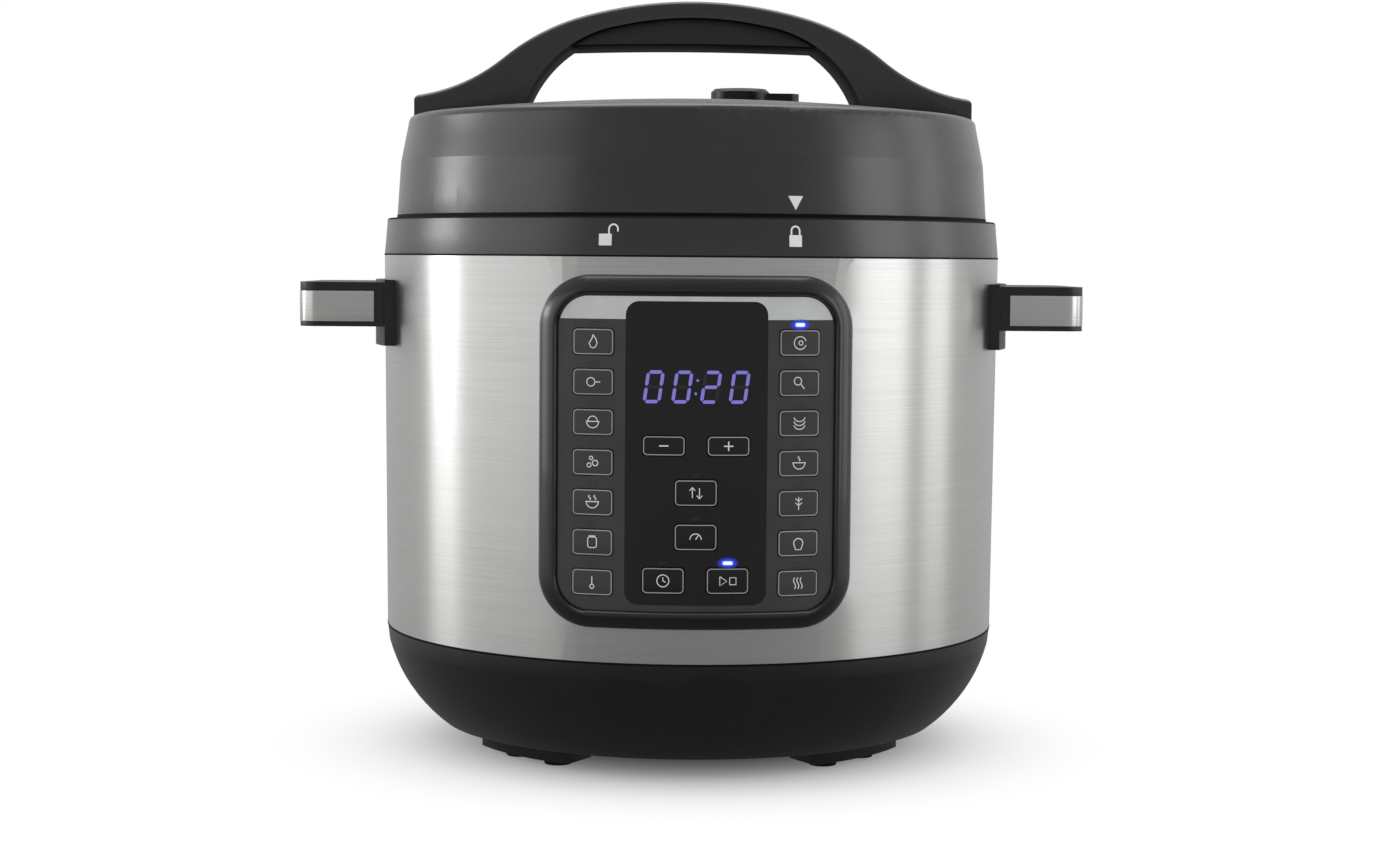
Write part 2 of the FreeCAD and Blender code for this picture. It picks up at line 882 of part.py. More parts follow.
def make_lid_ring():
    """The lid's steel bayonet ring: a flange, a skirt into the moat and lugs at its foot."""
    inside = s.ring_outer_radius - s.ring_wall
    low = lid_bottom - s.ring_drop
    lug_in = s.lock_ring_radius + s.gap
    flange_low = lid_bottom - s.ring_wall
    ring = revolved("bayonet", [
        (s.ring_outer_radius - s.ring_flange_width, flange_low),
        (inside, flange_low),
        (inside, low + s.ring_lug_height),
        (lug_in, low + s.ring_lug_height),
        (lug_in, low),
        (s.ring_outer_radius, low),
        (s.ring_outer_radius, lid_bottom),
        (s.ring_outer_radius - s.ring_flange_width, lid_bottom),
    ])
    gaps = []
    for gap in lug_gaps(lug_in - s.lug_depth, inside, low, low + s.ring_lug_height, 180 / LUGS):
        gaps.append(common(gap, cylinder(inside, s.ring_lug_height, z=low)))
    shafts = [cylinder(s.screw_radius + s.fit, far, *spot, 0) for spot in lid_boss_spots()]
    node("lid_ring", cut(ring, *gaps, *shafts))


def make_lid_plate():
    low, high = plate_bottom, plate_top
    rise = s.plate_dish_height
    plate = revolved("dished_plate", [
        (s.plate_radius, low),
        (s.plate_radius, high),
        (s.plate_dish_foot, high),
        (s.plate_dish_radius, dish_top),
        (0, dish_top),
        (0, low + rise),
        (s.plate_dish_radius - s.plate_thick / 4, low + rise),
        (s.plate_dish_foot - s.plate_thick / 4, low),
    ])
    holes = [cylinder(s.screw_radius + s.fit, far, *spot, 0) for spot in lid_boss_spots()]
    holes.append(cylinder(s.valve_stem_radius + s.fit, far, s.valve_x, s.valve_y, 0))
    holes.append(cylinder(s.float_radius + s.fit, far, s.float_x, s.float_y, 0))
    node("lid_plate", cut(plate, *holes))


def make_lid_screws():
    seat = lid_bottom - s.ring_wall
    length = s.ring_wall + s.plate_thick + s.lid_shoulder_height / 2
    node("lid_screws", group(*[screw(*spot, seat, length) for spot in lid_boss_spots()]))


def make_seal():
    """The silicone ring under the lid plate, and the wire rack in its groove."""
    top = plate_bottom - s.gap
    shelf = lid_bottom - s.ring_wall - s.gap
    flange_in = s.ring_outer_radius - s.ring_flange_width - s.gap
    low = pot_rim + s.gap
    groove_top = top - s.seal_groove_height
    groove_low = groove_top - s.seal_groove_height
    outer = s.pot_rim_radius
    groove_wall = flange_in - s.ring_wall
    lip_in = outer - s.seal_lip_width - s.ring_wall
    node("sealing_ring", revolved("seal", [
        (s.seal_inner_radius, groove_top),
        (groove_wall, groove_top),
        (groove_wall, groove_low),
        (lip_in, groove_low),
        (lip_in, low),
        (outer, low),
        (outer, shelf),
        (flange_in, shelf),
        (flange_in, top),
        (s.seal_inner_radius, top),
    ]))
    rack_out = groove_wall - s.gap
    rack = tube(rack_out, rack_out - s.rack_width, groove_low + s.gap, groove_top - s.gap)
    node("ring_rack", rack)


def make_lid_handle():
    foot = lid_shoulder
    end_top = dome_edge + s.handle_end_height
    bend = dome_edge + s.handle_bend_height
    shoulder = dome_edge + s.handle_shoulder_height
    outer = padded("handle_outer", [
        (s.handle_end, foot),
        (s.handle_end, end_top),
        (s.handle_bend, bend, s.handle_hollow_radius, -1),
        (s.handle_shoulder, shoulder, s.handle_side_radius, 1),
        (-s.handle_shoulder, shoulder, s.handle_top_radius, 1),
        (-s.handle_bend, bend, s.handle_side_radius, 1),
        (-s.handle_end, end_top, s.handle_hollow_radius, -1),
        (-s.handle_end, foot),
    ], -s.handle_width / 2, s.handle_width / 2)
    opening = padded("handle_opening", [
        (s.arch_foot, foot),
        (s.arch_spring, dome_edge + s.arch_spring_height),
        *arch_line(),
        (-s.arch_spring, dome_edge + s.arch_spring_height, s.arch_side_radius, 1),
        (-s.arch_foot, foot),
    ], -s.handle_width, s.handle_width)
    lid_body = revolved("lid_body", lid_outline(s.fit) + [(0, lid_bottom)])
    node("lid_handle", cut(outer, opening, lid_body))


def arch_line():
    """The top of the handle's opening, from its right shoulder to its left one."""
    shoulder = dome_edge + s.arch_shoulder_height
    return [
        (s.arch_shoulder, shoulder, s.arch_side_radius, 1),
        (-s.arch_shoulder, shoulder, s.arch_top_radius, 1),
    ]


def make_grip():
    """The dark grip that fills the handle's arch and is set back from its faces."""
    low = dome_edge + s.grip_end_height
    lens = padded("grip_lens", [
        (s.grip_end, low),
        (s.grip_end, dome_edge + s.handle_shoulder_height),
        (-s.grip_end, dome_edge + s.handle_shoulder_height),
        (-s.grip_end, low),
        (s.grip_end, low, s.grip_bow_radius, -1),
    ][1:], -s.grip_depth / 2, s.grip_depth / 2)
    arch = padded("grip_arch", [
        (s.arch_foot, lid_shoulder),
        (s.arch_spring, dome_edge + s.arch_spring_height),
        *arch_line(),
        (-s.arch_spring, dome_edge + s.arch_spring_height, s.arch_side_radius, 1),
        (-s.arch_foot, lid_shoulder),
    ], -s.handle_width, s.handle_width)
    node("handle_grip", common(lens, arch))


def valve_dome():
    """Height of the lid's dome at the valve."""
    return dome_height(root(s.valve_x * s.valve_x + s.valve_y * s.valve_y))


def make_valve_guides():
    """The steam valve's seat and the float's guide, both standing on the lid plate."""
    seat_bore = s.valve_stem_radius + s.fit
    seat_out = s.valve_stem_radius + s.valve_seat_wall
    seat_top = valve_dome() + s.valve_seat_rise
    seat = cylinder(seat_out, seat_top - dish_top, s.valve_x, s.valve_y, dish_top)
    lip = cylinder(seat_out + s.valve_seat_flange, s.valve_seat_rise - s.gap, s.valve_x, s.valve_y,
                   valve_dome() + s.gap)
    bore = cylinder(seat_bore, far, s.valve_x, s.valve_y, dish_top)
    guide_top = dome_height(root(s.float_x * s.float_x + s.float_y * s.float_y)) - s.lid_wall - 2 * s.gap
    guide = cylinder(s.float_radius + s.float_guide_wall, guide_top - dish_top, s.float_x, s.float_y, dish_top)
    guide_bore = cylinder(s.float_radius + s.fit, far, s.float_x, s.float_y, dish_top)
    node("valve_guides", group(cut(fuse(seat, lip), bore), cut(guide, guide_bore)))


def make_steam_valve():
    x, y = s.valve_x, s.valve_y
    seat_top = valve_dome() + s.valve_seat_rise
    skirt_low = seat_top + s.gap
    knob_low = valve_dome() + s.valve_knob_lift + s.gap
    edge = s.valve_edge
    knob = cylinder(s.valve_knob_radius, s.valve_knob_height - edge, x, y, knob_low)
    crown = doc.addObject("Part::Cone", "valve_crown")
    bind(crown, Radius1=s.valve_knob_radius, Radius2=s.valve_knob_radius - edge, Height=edge)
    place(crown, x, y, knob_low + s.valve_knob_height - edge)
    skirt = cylinder(s.valve_skirt_radius, knob_low - skirt_low, x, y, skirt_low)
    stem = cylinder(s.valve_stem_radius, s.valve_stem_length, x, y, skirt_low - s.valve_stem_length)
    half = s.valve_lever_width / 2
    lever = padded("valve_lever", [
        (x + s.valve_lever_reach - half, y - half),
        (x + s.valve_lever_reach - half, y + half, half + s.fit, 1),
        (x, y + half),
        (x, y - half),
    ], knob_low, knob_low + s.valve_lever_height, "XY_Plane")
    node("steam_valve", fuse(knob, crown, skirt, stem, lever))


def make_shield():
    x, y = s.valve_x, s.valve_y
    top = plate_bottom + s.plate_dish_height
    low = top - s.shield_height
    cup = cylinder(s.shield_radius, s.shield_height, x, y, low)
    hollow = cylinder(s.shield_radius - s.shield_wall, s.shield_height - s.shield_wall, x, y, low + s.shield_wall)
    node("anti_block_shield", cut(cup, hollow))


def make_float():
    x, y = s.float_x, s.float_y
    low = plate_bottom + s.plate_dish_height - s.float_drop
    top = dome_height(root(x * x + y * y))
    head = cylinder(s.float_head_radius, s.float_head_height, x, y, low)
    node("float_pin", fuse(head, cylinder(s.float_radius, top - low, x, y, low)))


def side_outline(grow):
    """Outline of a side handle seen from above, grown on every side."""
    reach = s.side_reach + grow
    half = s.side_half_width + grow
    corner = s.side_corner + grow
    return [
        (reach - corner, -half),
        (reach, corner - half, corner, 1),
        (reach, half - corner),
        (reach - corner, half, corner, 1),
        (0, half),
        (0, -half),
    ]


def make_side_handle(label, angle):
    ledge = padded("side_ledge", side_outline(0), side_bottom, side_top, "XY_Plane")
    band_low, band_high = side_bottom - s.flange_drop, side_top + s.flange_rise
    band = block((0, -s.flange_half_width, band_low), (s.side_reach, s.flange_half_width, band_high))
    flange = common(band, cylinder(s.flange_radius, band_high - band_low, z=band_low))
    hollow = block((s.side_root, s.side_wall - s.side_half_width, side_bottom),
                   (s.side_reach - s.side_wall, s.side_half_width - s.side_wall, side_top - s.side_roof))
    piece = cut(fuse(ledge, flange), shell_core(-s.fit), hollow, trim_band(), *side_screw_bores())
    node(label, turn(group(piece), angle))


def trim_band():
    """The steel strip let into a side handle's edge."""
    low = side_bottom + s.trim_bottom_gap
    high = low + s.trim_height
    outside = padded("trim_out", side_outline(s.trim_proud), low, high, "XY_Plane")
    inside = padded("trim_in", side_outline(s.trim_proud - s.trim_thick), low, high, "XY_Plane")
    root_block = block((-far, -far, low), (s.trim_start, far, high))
    return cut(outside, inside, root_block)


def make_trims():
    node("handle_trims", group(turn(group(trim_band()), 0), turn(group(trim_band()), 180)))


def panel_prism(half_width, low, high, corner):
    """A rounded rectangle as seen from the front, carried back into the body."""
    return padded("panel_prism", rounded(-half_width, half_width, low, high, corner), -far, -s.control_board_back)


def panel_skin(half_width, low, high, corner, inner, outer):
    """A curved plate between two radii with a rounded outline."""
    ring = tube(outer, inner, low - s.bezel_corner, high + s.bezel_corner)
    return common(ring, panel_prism(half_width, low, high, corner))


def overlay_back():
    return s.face_radius - s.overlay_thick


def make_bezel():
    half, low, high, corner = s.bezel_half_width, bezel_bottom, bezel_top, s.bezel_corner
    edge = s.bezel_edge
    rim = panel_skin(half, low, high, corner, s.carrier_radius - s.carrier_thick, s.bezel_radius - edge)
    crest = panel_skin(half - edge, low + edge, high - edge, corner - edge,
                       s.carrier_radius - s.carrier_thick, s.bezel_radius)
    frame = cut(fuse(rim, crest), shell_core(-s.fit))
    lip = panel_skin(s.overlay_half_width + s.shell_cut_margin - s.gap,
                     overlay_bottom - s.shell_cut_margin + s.gap,
                     overlay_top + s.shell_cut_margin - s.gap,
                     s.overlay_corner - s.gap, s.carrier_radius, s.face_radius)
    seat = panel_skin(s.overlay_half_width + s.gap, overlay_bottom - s.gap, overlay_top + s.gap,
                      s.overlay_corner + s.gap, overlay_back(), far)
    through = panel_prism(s.overlay_half_width - s.ledge_width, overlay_bottom + s.ledge_width,
                          overlay_top - s.ledge_width, s.overlay_corner - s.ledge_width)
    node("panel_bezel", cut(fuse(frame, lip), seat, through))


def key_places():
    """Name, angle from the front, height and height of the face of every key."""
    places = []
    for row in range(ROWS):
        height = row_top - row * row_pitch
        places.append((f"key_left_{row + 1}", -s.column_angle, height, key_height))
        places.append((f"key_right_{row + 1}", s.column_angle, height, key_height))
    places.append(("key_minus", -s.pair_angle, step_row, s.step_key_height))
    places.append(("key_plus", s.pair_angle, step_row, s.step_key_height))
    places.append(("key_middle_1", as_size(0), single_row_high, key_height))
    places.append(("key_middle_2", as_size(0), single_row_low, key_height))
    places.append(("key_bottom_left", -s.pair_angle, pair_row, key_height))
    places.append(("key_bottom_right", s.pair_angle, pair_row, key_height))
    return places


def key_solid(angle, middle, height, grow, inner, outer):
    """A key's rounded block between two radii, turned to its angle."""
    half = s.key_width / 2 + grow
    rise = height / 2 + grow
    face = panel_skin(half, middle - rise, middle + rise, s.key_corner + grow, inner, outer)
    return turn(group(face), angle)


def make_keys():
    back = s.face_radius + s.key_proud - s.key_depth
    for label, angle, middle, height in key_places():
        node(label, key_solid(angle, middle, height, 0, back, s.face_radius + s.key_proud))


def is_middle(label):
    return not (label.startswith("key_left") or label.startswith("key_right"))


def key_holes(middle_ones):
    holes = []
    for label, angle, middle, height in key_places():
        if is_middle(label) == middle_ones:
            holes.append(key_solid(angle, middle, height, s.gap, overlay_back() - s.key_depth, far))
    return holes


def light_places():
    """Angle and height of the small light over each function key."""
    return [(angle, middle + light_rise) for label, angle, middle, height in key_places()
            if label not in ("key_minus", "key_plus")]


def light_solid(angle, middle, grow, inner, outer):
    half = s.light_width / 2 + grow
    rise = s.light_height / 2 + grow
    face = panel_skin(half, middle - rise, middle + rise, rise - s.fit, inner, outer)
    return turn(group(face), angle)


def light_holes(middle_ones):
    holes = []
    for label, angle, middle, height in key_places():
        if is_middle(label) == middle_ones and label not in ("key_minus", "key_plus"):
            holes.append(light_solid(angle, middle + light_rise, s.fit, overlay_back() - s.key_depth, far))
    return holes


def make_panel_faces():
    back = overlay_back()
    overlay = panel_skin(s.overlay_half_width, overlay_bottom, overlay_top, s.overlay_corner,
                         back, s.face_radius)
    window = panel_prism(s.window_half_width + s.fit, window_bottom - s.fit, window_top + s.fit,
                         s.window_corner)
    node("panel_overlay", cut_group(cut(overlay, window), key_holes(False) + light_holes(False)))
    glass = panel_skin(s.window_half_width, window_bottom, window_top, s.window_corner - s.fit,
                       back, s.face_radius)
    node("display_window", cut_group(glass, key_holes(True) + light_holes(True)))
    lights = [light_solid(*spot, 0, back, s.face_radius + s.light_proud) for spot in light_places()]
    node("indicator_lights", group(*lights))


def make_control_board():
    half = s.overlay_half_width + s.shell_cut_margin - 2 * s.gap
    low = overlay_bottom - s.shell_cut_margin + 2 * s.gap
    high = overlay_top + s.shell_cut_margin - 2 * s.gap
    plate = panel_skin(half, low, high, s.overlay_corner, s.carrier_radius - s.carrier_thick, s.carrier_radius)
    front = s.control_board_back + s.board_thick
    post_end = root(s.carrier_radius * s.carrier_radius - s.control_post_x * s.control_post_x) - s.carrier_thick
    posts = []
    for x in (-1, 1):
        for z in (low + s.control_post_inset, high - s.control_post_inset):
            posts.append(cylinder(s.control_post_radius, post_end - front, s.control_post_x * x, -post_end, z, "Y"))
    node("switch_carrier", fuse(plate, *posts))
    board_half = s.control_board_half_width
    node("control_board", block((-board_half, -front, low), (board_half, -s.control_board_back, high)))


def make_cup_holder():
    low, high = holder_bottom, holder_bottom + s.holder_height
    pad = block((-s.holder_half_width, 0, low), (s.holder_half_width, far, high))
    plate = common(pad, cylinder(s.holder_radius, s.holder_height, z=low))
    pegs = [block(*peg_corners(side, 0)) for side in (1, -1)]
    node("cup_holder", cut(fuse(plate, *pegs), shell_core(-s.fit)))


def peg_corners(side, grow):
    """Corners of one peg that the cup hangs on, grown for its hole."""
    middle = (s.peg_half_gap + s.peg_width / 2) * side
    low = holder_bottom + s.peg_above
    start = s.holder_radius - s.peg_length
    return ((middle - s.peg_width / 2 - grow, start, low - grow),
            (middle + s.peg_width / 2 + grow, s.holder_radius + s.peg_length, low + s.peg_height + grow))


def make_cup():
    near = s.holder_radius + s.gap
    outer = near + s.cup_depth
    low, high = holder_bottom - s.cup_wall, holder_bottom - s.cup_wall + s.cup_height
    corner = s.cup_wall * 2
    shape = padded("cup_outside", rounded(-s.cup_half_width, s.cup_half_width, near, outer, corner),
                   low, high, "XY_Plane")
    wall = s.cup_wall
    hollow = padded("cup_inside", rounded(wall - s.cup_half_width, s.cup_half_width - wall, near + wall,
                                          outer - wall, corner - wall),
                    low + wall, high + wall, "XY_Plane")
    holes = [block(*peg_corners(side, s.gap)) for side in (1, -1)]
    node("condensation_cup", cut(shape, hollow, *holes))


def grown_inlet(grow):
    half = s.inlet_half_width + grow
    return block((-half, s.inlet_front - s.inlet_length - grow, s.inlet_bottom - grow),
                 (half, far, s.inlet_bottom + s.inlet_height + grow))


def make_inlet():
    half, wall = s.inlet_half_width, s.inlet_wall
    low, high = s.inlet_bottom, s.inlet_bottom + s.inlet_height
    floor = s.inlet_front - s.inlet_socket_depth
    body = block((-half, s.inlet_front - s.inlet_length, low), (half, s.inlet_front, high))
    socket = block((wall - half, floor, low + wall), (half - wall, far, high - wall))
    holes = [block(*pin_corners(spot, s.fit)) for spot in pin_spots()]
    node("power_inlet", cut(body, socket, *holes))
    node("inlet_pins", group(*[block(*pin_corners(spot, 0)) for spot in pin_spots()]))


def pin_spots():
    """Middles of the three contact pins as seen from behind."""
    middle = s.inlet_bottom + s.inlet_height / 2
    return [(-s.pin_spacing, middle - s.pin_drop / 2), (s.pin_spacing, middle - s.pin_drop / 2),
            (as_size(0), middle + s.pin_drop / 2)]


def pin_corners(spot, grow):
    x, z = spot
    floor = s.inlet_front - s.inlet_socket_depth
    half_x, half_z = s.pin_thick / 2 + grow, s.pin_width / 2 + grow
    return ((x - half_x, floor - s.pin_width, z - half_z), (x + half_x, floor + s.pin_length, z + half_z))


def check_document():
    """Stop if anything in the document failed."""
    doc.recompute()
    for thing in doc.Objects:
        if "Invalid" in thing.State or "Error" in thing.State:
            raise RuntimeError(f"{thing.Label} failed: {thing.State}")
    for thing in nodes:
        if thing.Shape.isNull() or not thing.Shape.isValid() or not thing.Shape.Solids:
            raise RuntimeError(f"{thing.Label} has no valid solid")


def write_parts():
    os.makedirs("parts", exist_ok=True)
    for thing in nodes:
        thing.Shape.exportStep(f"parts/{thing.Label}.step")


make_base()
make_feet()
make_bottom_cover()
make_body_screws()
make_shell()
make_collar()
make_liner()
make_lock_ring()
make_heater()
make_element()
make_sensor()
make_power_board()
make_pot()
make_lid_cover()
make_lid_ring()
make_lid_plate()
make_lid_screws()
make_seal()
make_lid_handle()
make_grip()
make_valve_guides()
make_steam_valve()
make_shield()
make_float()
make_side_handle("side_handle_right", 0)
make_side_handle("side_handle_left", 180)
make_trims()
make_bezel()
make_panel_faces()
make_keys()
make_control_board()
make_cup_holder()
make_cup()
make_inlet()
check_document()
write_parts()
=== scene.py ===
import json
import math

import bmesh
import bpy
from mathutils import Matrix, Vector


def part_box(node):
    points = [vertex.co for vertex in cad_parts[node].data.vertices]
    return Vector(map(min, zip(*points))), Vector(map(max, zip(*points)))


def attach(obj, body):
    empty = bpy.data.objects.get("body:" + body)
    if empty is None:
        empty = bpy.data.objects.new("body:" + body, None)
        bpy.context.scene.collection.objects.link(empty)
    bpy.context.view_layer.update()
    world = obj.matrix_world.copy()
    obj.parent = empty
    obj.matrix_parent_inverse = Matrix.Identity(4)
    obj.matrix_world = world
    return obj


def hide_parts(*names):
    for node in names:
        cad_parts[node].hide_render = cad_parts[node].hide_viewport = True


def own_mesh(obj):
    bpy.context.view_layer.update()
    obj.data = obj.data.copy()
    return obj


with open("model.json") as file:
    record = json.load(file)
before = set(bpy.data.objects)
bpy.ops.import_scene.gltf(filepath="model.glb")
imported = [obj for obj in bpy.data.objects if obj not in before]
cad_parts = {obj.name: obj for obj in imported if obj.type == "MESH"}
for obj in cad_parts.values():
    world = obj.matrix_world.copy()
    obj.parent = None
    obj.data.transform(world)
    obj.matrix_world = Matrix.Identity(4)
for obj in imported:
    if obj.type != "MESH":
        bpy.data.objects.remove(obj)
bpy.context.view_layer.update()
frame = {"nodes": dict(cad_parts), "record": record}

MM = 0.001

# Tones of the finishes, as shares of the colour written, and how far their gloss wanders.
TINT_ENDS = (0.3, 0.7)
PLASTIC_TONES = (0.88, 1.12)
PLASTIC_GLOSS = 0.04
BRUSHED_TONES = (0.9, 1.08)
BRUSHED_GLOSS = (-0.05, 0.06)
METAL_TONES = (0.9, 1.0)
METAL_GLOSS = 0.06

# Scales of the patterns, per metre, their detail, and the depth of their bumps in metres.
MOTTLE_SCALE = 55.0
GRAIN_DETAIL = 2.0
GRAIN_DEPTH = 0.0002
BRUSH_FINE = (1.0, 4.0)
BRUSH_COARSE = (0.35, 2.0)
BRUSH_DEPTH = 0.0002
METAL_DEPTH = 0.0001
METAL_BUMP = 0.05
CUP_SCALE = 120.0
LAMP_SCALE = 300.0

# Fixed values of the shaders.
COAT_ROUGHNESS = 0.06
SHEEN_ROUGHNESS = 0.45
BRUSH_TURN = 0.25
CUP_TRANSMISSION = 0.85
CUP_IOR = 1.46
CUP_ROUGHNESS = (0.12, 0.24)
LAMP_ROUGHNESS = (0.3, 0.4)
LENS_ROUGHNESS = (0.32, 0.40)
LENS_SPECULAR = 0.5

# Where the lamp windows turn from the display's black to the overlay's grey, in metres from the middle.
LENS_EDGE = (0.030, 0.032)
OVERLAY_GREY = (0.030, 0.0305, 0.031)

# The glow round a lamp fades between these shares of its reach.
HALO_FADE = (0.98, 0.15)


def new_material(name):
    """An empty principled material and its node tree."""
    material = bpy.data.materials.new(name)
    material.use_nodes = True
    tree = material.node_tree
    return material, tree, tree.nodes["Principled BSDF"]


def add(tree, kind, **values):
    """A shader node with its sockets or properties set by name."""
    node = tree.nodes.new(kind)
    for key, value in values.items():
        if key in node.inputs:
            node.inputs[key].default_value = value
        else:
            setattr(node, key, value)
    return node


def noise(tree, scale, stretch=(1, 1, 1), detail=3.0):
    """Noise in the object's own metres, drawn out along an axis where its stretch is small."""
    place = add(tree, "ShaderNodeTexCoord")
    mapping = add(tree, "ShaderNodeMapping")
    mapping.inputs["Scale"].default_value = stretch
    texture = add(tree, "ShaderNodeTexNoise", Scale=scale, Detail=detail)
    tree.links.new(place.outputs["Object"], mapping.inputs["Vector"])
    tree.links.new(mapping.outputs["Vector"], texture.inputs["Vector"])
    return texture.outputs["Fac"]


def spread(tree, value, low, high, start=0.0, end=1.0, kind="LINEAR"):
    """A value that goes from low to high as another goes from start to end."""
    ramp = add(tree, "ShaderNodeMapRange", interpolation_type=kind)
    for key, level in (("From Min", start), ("From Max", end), ("To Min", low), ("To Max", high)):
        ramp.inputs[key].default_value = level
    tree.links.new(value, ramp.inputs["Value"])
    return ramp.outputs["Result"]


def tint(tree, factor, low, high):
    """A colour that wanders between two others."""
    ramp = add(tree, "ShaderNodeValToRGB")
    for element, position, colour in zip(ramp.color_ramp.elements, TINT_ENDS, (low, high)):
        element.position = position
        element.color = (*colour, 1)
    tree.links.new(factor, ramp.inputs["Fac"])
    return ramp.outputs["Color"]


def wander_colour(tree, shader, factor, colour, tones):
    """Let the surface wander between two tones of its colour."""
    low, high = ([channel * tone for channel in colour] for tone in tones)
    tree.links.new(tint(tree, factor, low, high), shader.inputs["Base Color"])


def wander_gloss(tree, shader, factor, low, high):
    """Let the surface wander between two roughnesses."""
    tree.links.new(spread(tree, factor, low, high), shader.inputs["Roughness"])


def bumped(tree, shader, factor, strength, distance):
    """Raise and sink the surface by a factor."""
    bump = add(tree, "ShaderNodeBump", Strength=strength, Distance=distance)
    tree.links.new(factor, bump.inputs["Height"])
    tree.links.new(bump.outputs["Normal"], shader.inputs["Normal"])


def plastic(name, colour, roughness, grain=2600.0, bump=0.12, specular=0.5, coat=0.0, sheen=0.0):
    """Moulded plastic with a fine grain, faint mottling and uneven gloss."""
    material, tree, shader = new_material(name)
    mottle = noise(tree, MOTTLE_SCALE)
    wander_colour(tree, shader, mottle, colour, PLASTIC_TONES)
    wander_gloss(tree, shader, mottle, roughness - PLASTIC_GLOSS, roughness + PLASTIC_GLOSS)
    shader.inputs["Specular IOR Level"].default_value = specular
    shader.inputs["Coat Weight"].default_value = coat
    shader.inputs["Coat Roughness"].default_value = COAT_ROUGHNESS
    shader.inputs["Sheen Weight"].default_value = sheen
    shader.inputs["Sheen Roughness"].default_value = SHEEN_ROUGHNESS
    bumped(tree, shader, noise(tree, grain, detail=GRAIN_DETAIL), bump, GRAIN_DEPTH)
    return material


def brushed(name, colour, roughness, stretch, anisotropy):
    """Metal with fine drawn lines; the stretch is small along the lines."""
    material, tree, shader = new_material(name)
    shader.inputs["Metallic"].default_value = 1.0
    shader.inputs["Anisotropic"].default_value = anisotropy
    shader.inputs["Anisotropic Rotation"].default_value = BRUSH_TURN
    (fine_scale, fine_detail), (coarse_scale, coarse_detail) = BRUSH_FINE, BRUSH_COARSE
    fine = noise(tree, fine_scale, stretch, fine_detail)
    coarse = noise(tree, coarse_scale, stretch, coarse_detail)
    wander_colour(tree, shader, fine, colour, BRUSHED_TONES)
    wander_gloss(tree, shader, coarse, *(roughness + change for change in BRUSHED_GLOSS))
    tangent = add(tree, "ShaderNodeTangent", direction_type="RADIAL", axis="Z")
    tree.links.new(tangent.outputs["Tangent"], shader.inputs["Tangent"])
    bumped(tree, shader, fine, METAL_BUMP, BRUSH_DEPTH)
    return material


def metal(name, colour, roughness, grain=900.0):
    """Plain metal with a faint uneven finish."""
    material, tree, shader = new_material(name)
    shader.inputs["Metallic"].default_value = 1.0
    wander = noise(tree, grain)
    wander_colour(tree, shader, wander, colour, METAL_TONES)
    wander_gloss(tree, shader, wander, roughness - METAL_GLOSS, roughness + METAL_GLOSS)
    bumped(tree, shader, wander, METAL_BUMP, METAL_DEPTH)
    return material


def clear_plastic(name, colour):
    """Clear moulded plastic with a slight haze."""
    material, tree, shader = new_material(name)
    shader.inputs["Base Color"].default_value = (*colour, 1)
    shader.inputs["Transmission Weight"].default_value = CUP_TRANSMISSION
    shader.inputs["IOR"].default_value = CUP_IOR
    wander_gloss(tree, shader, noise(tree, CUP_SCALE), *CUP_ROUGHNESS)
    return material


def lit(shader, colour, strength):
    """Make a surface give light of its own colour."""
    shader.inputs["Base Color"].default_value = (*colour, 1)
    shader.inputs["Emission Color"].default_value = (*colour, 1)
    shader.inputs["Emission Strength"].default_value = strength


def glowing(name, colour, strength):
    """A lit segment or lamp."""
    material, tree, shader = new_material(name)
    lit(shader, colour, strength)
    wander_gloss(tree, shader, noise(tree, LAMP_SCALE), *LAMP_ROUGHNESS)
    return material


def lens(name, inner, outer):
    """Dark lamp windows that match the film round them: near black in the middle, grey over the columns."""
    material, tree, shader = new_material(name)
    place = add(tree, "ShaderNodeTexCoord")
    split = add(tree, "ShaderNodeSeparateXYZ")
    aside = add(tree, "ShaderNodeMath", operation="ABSOLUTE")
    tree.links.new(place.outputs["Object"], split.inputs["Vector"])
    tree.links.new(split.outputs["X"], aside.inputs[0])
    column = spread(tree, aside.outputs["Value"], 0, 1, *LENS_EDGE)
    tree.links.new(tint(tree, column, inner, outer), shader.inputs["Base Color"])
    wander_gloss(tree, shader, noise(tree, LAMP_SCALE), *LENS_ROUGHNESS)
    shader.inputs["Specular IOR Level"].default_value = LENS_SPECULAR
    return material


def halo(name, colour, strength):
    """The glow round a lamp, clear at its rim."""
    material, tree, shader = new_material(name)
    lit(shader, colour, strength)
    place = add(tree, "ShaderNodeTexCoord")
    centred = add(tree, "ShaderNodeVectorMath", operation="MULTIPLY_ADD")
    centred.inputs[1].default_value = (2, 0, 2)
    centred.inputs[2].default_value = (-1, 0, -1)
    reach = add(tree, "ShaderNodeVectorMath", operation="LENGTH")
    tree.links.new(place.outputs["Generated"], centred.inputs[0])
    tree.links.new(centred.outputs["Vector"], reach.inputs[0])
    fade = spread(tree, reach.outputs["Value"], 0, 1, *HALO_FADE, kind="SMOOTHSTEP")
    tree.links.new(fade, shader.inputs["Alpha"])
    return material


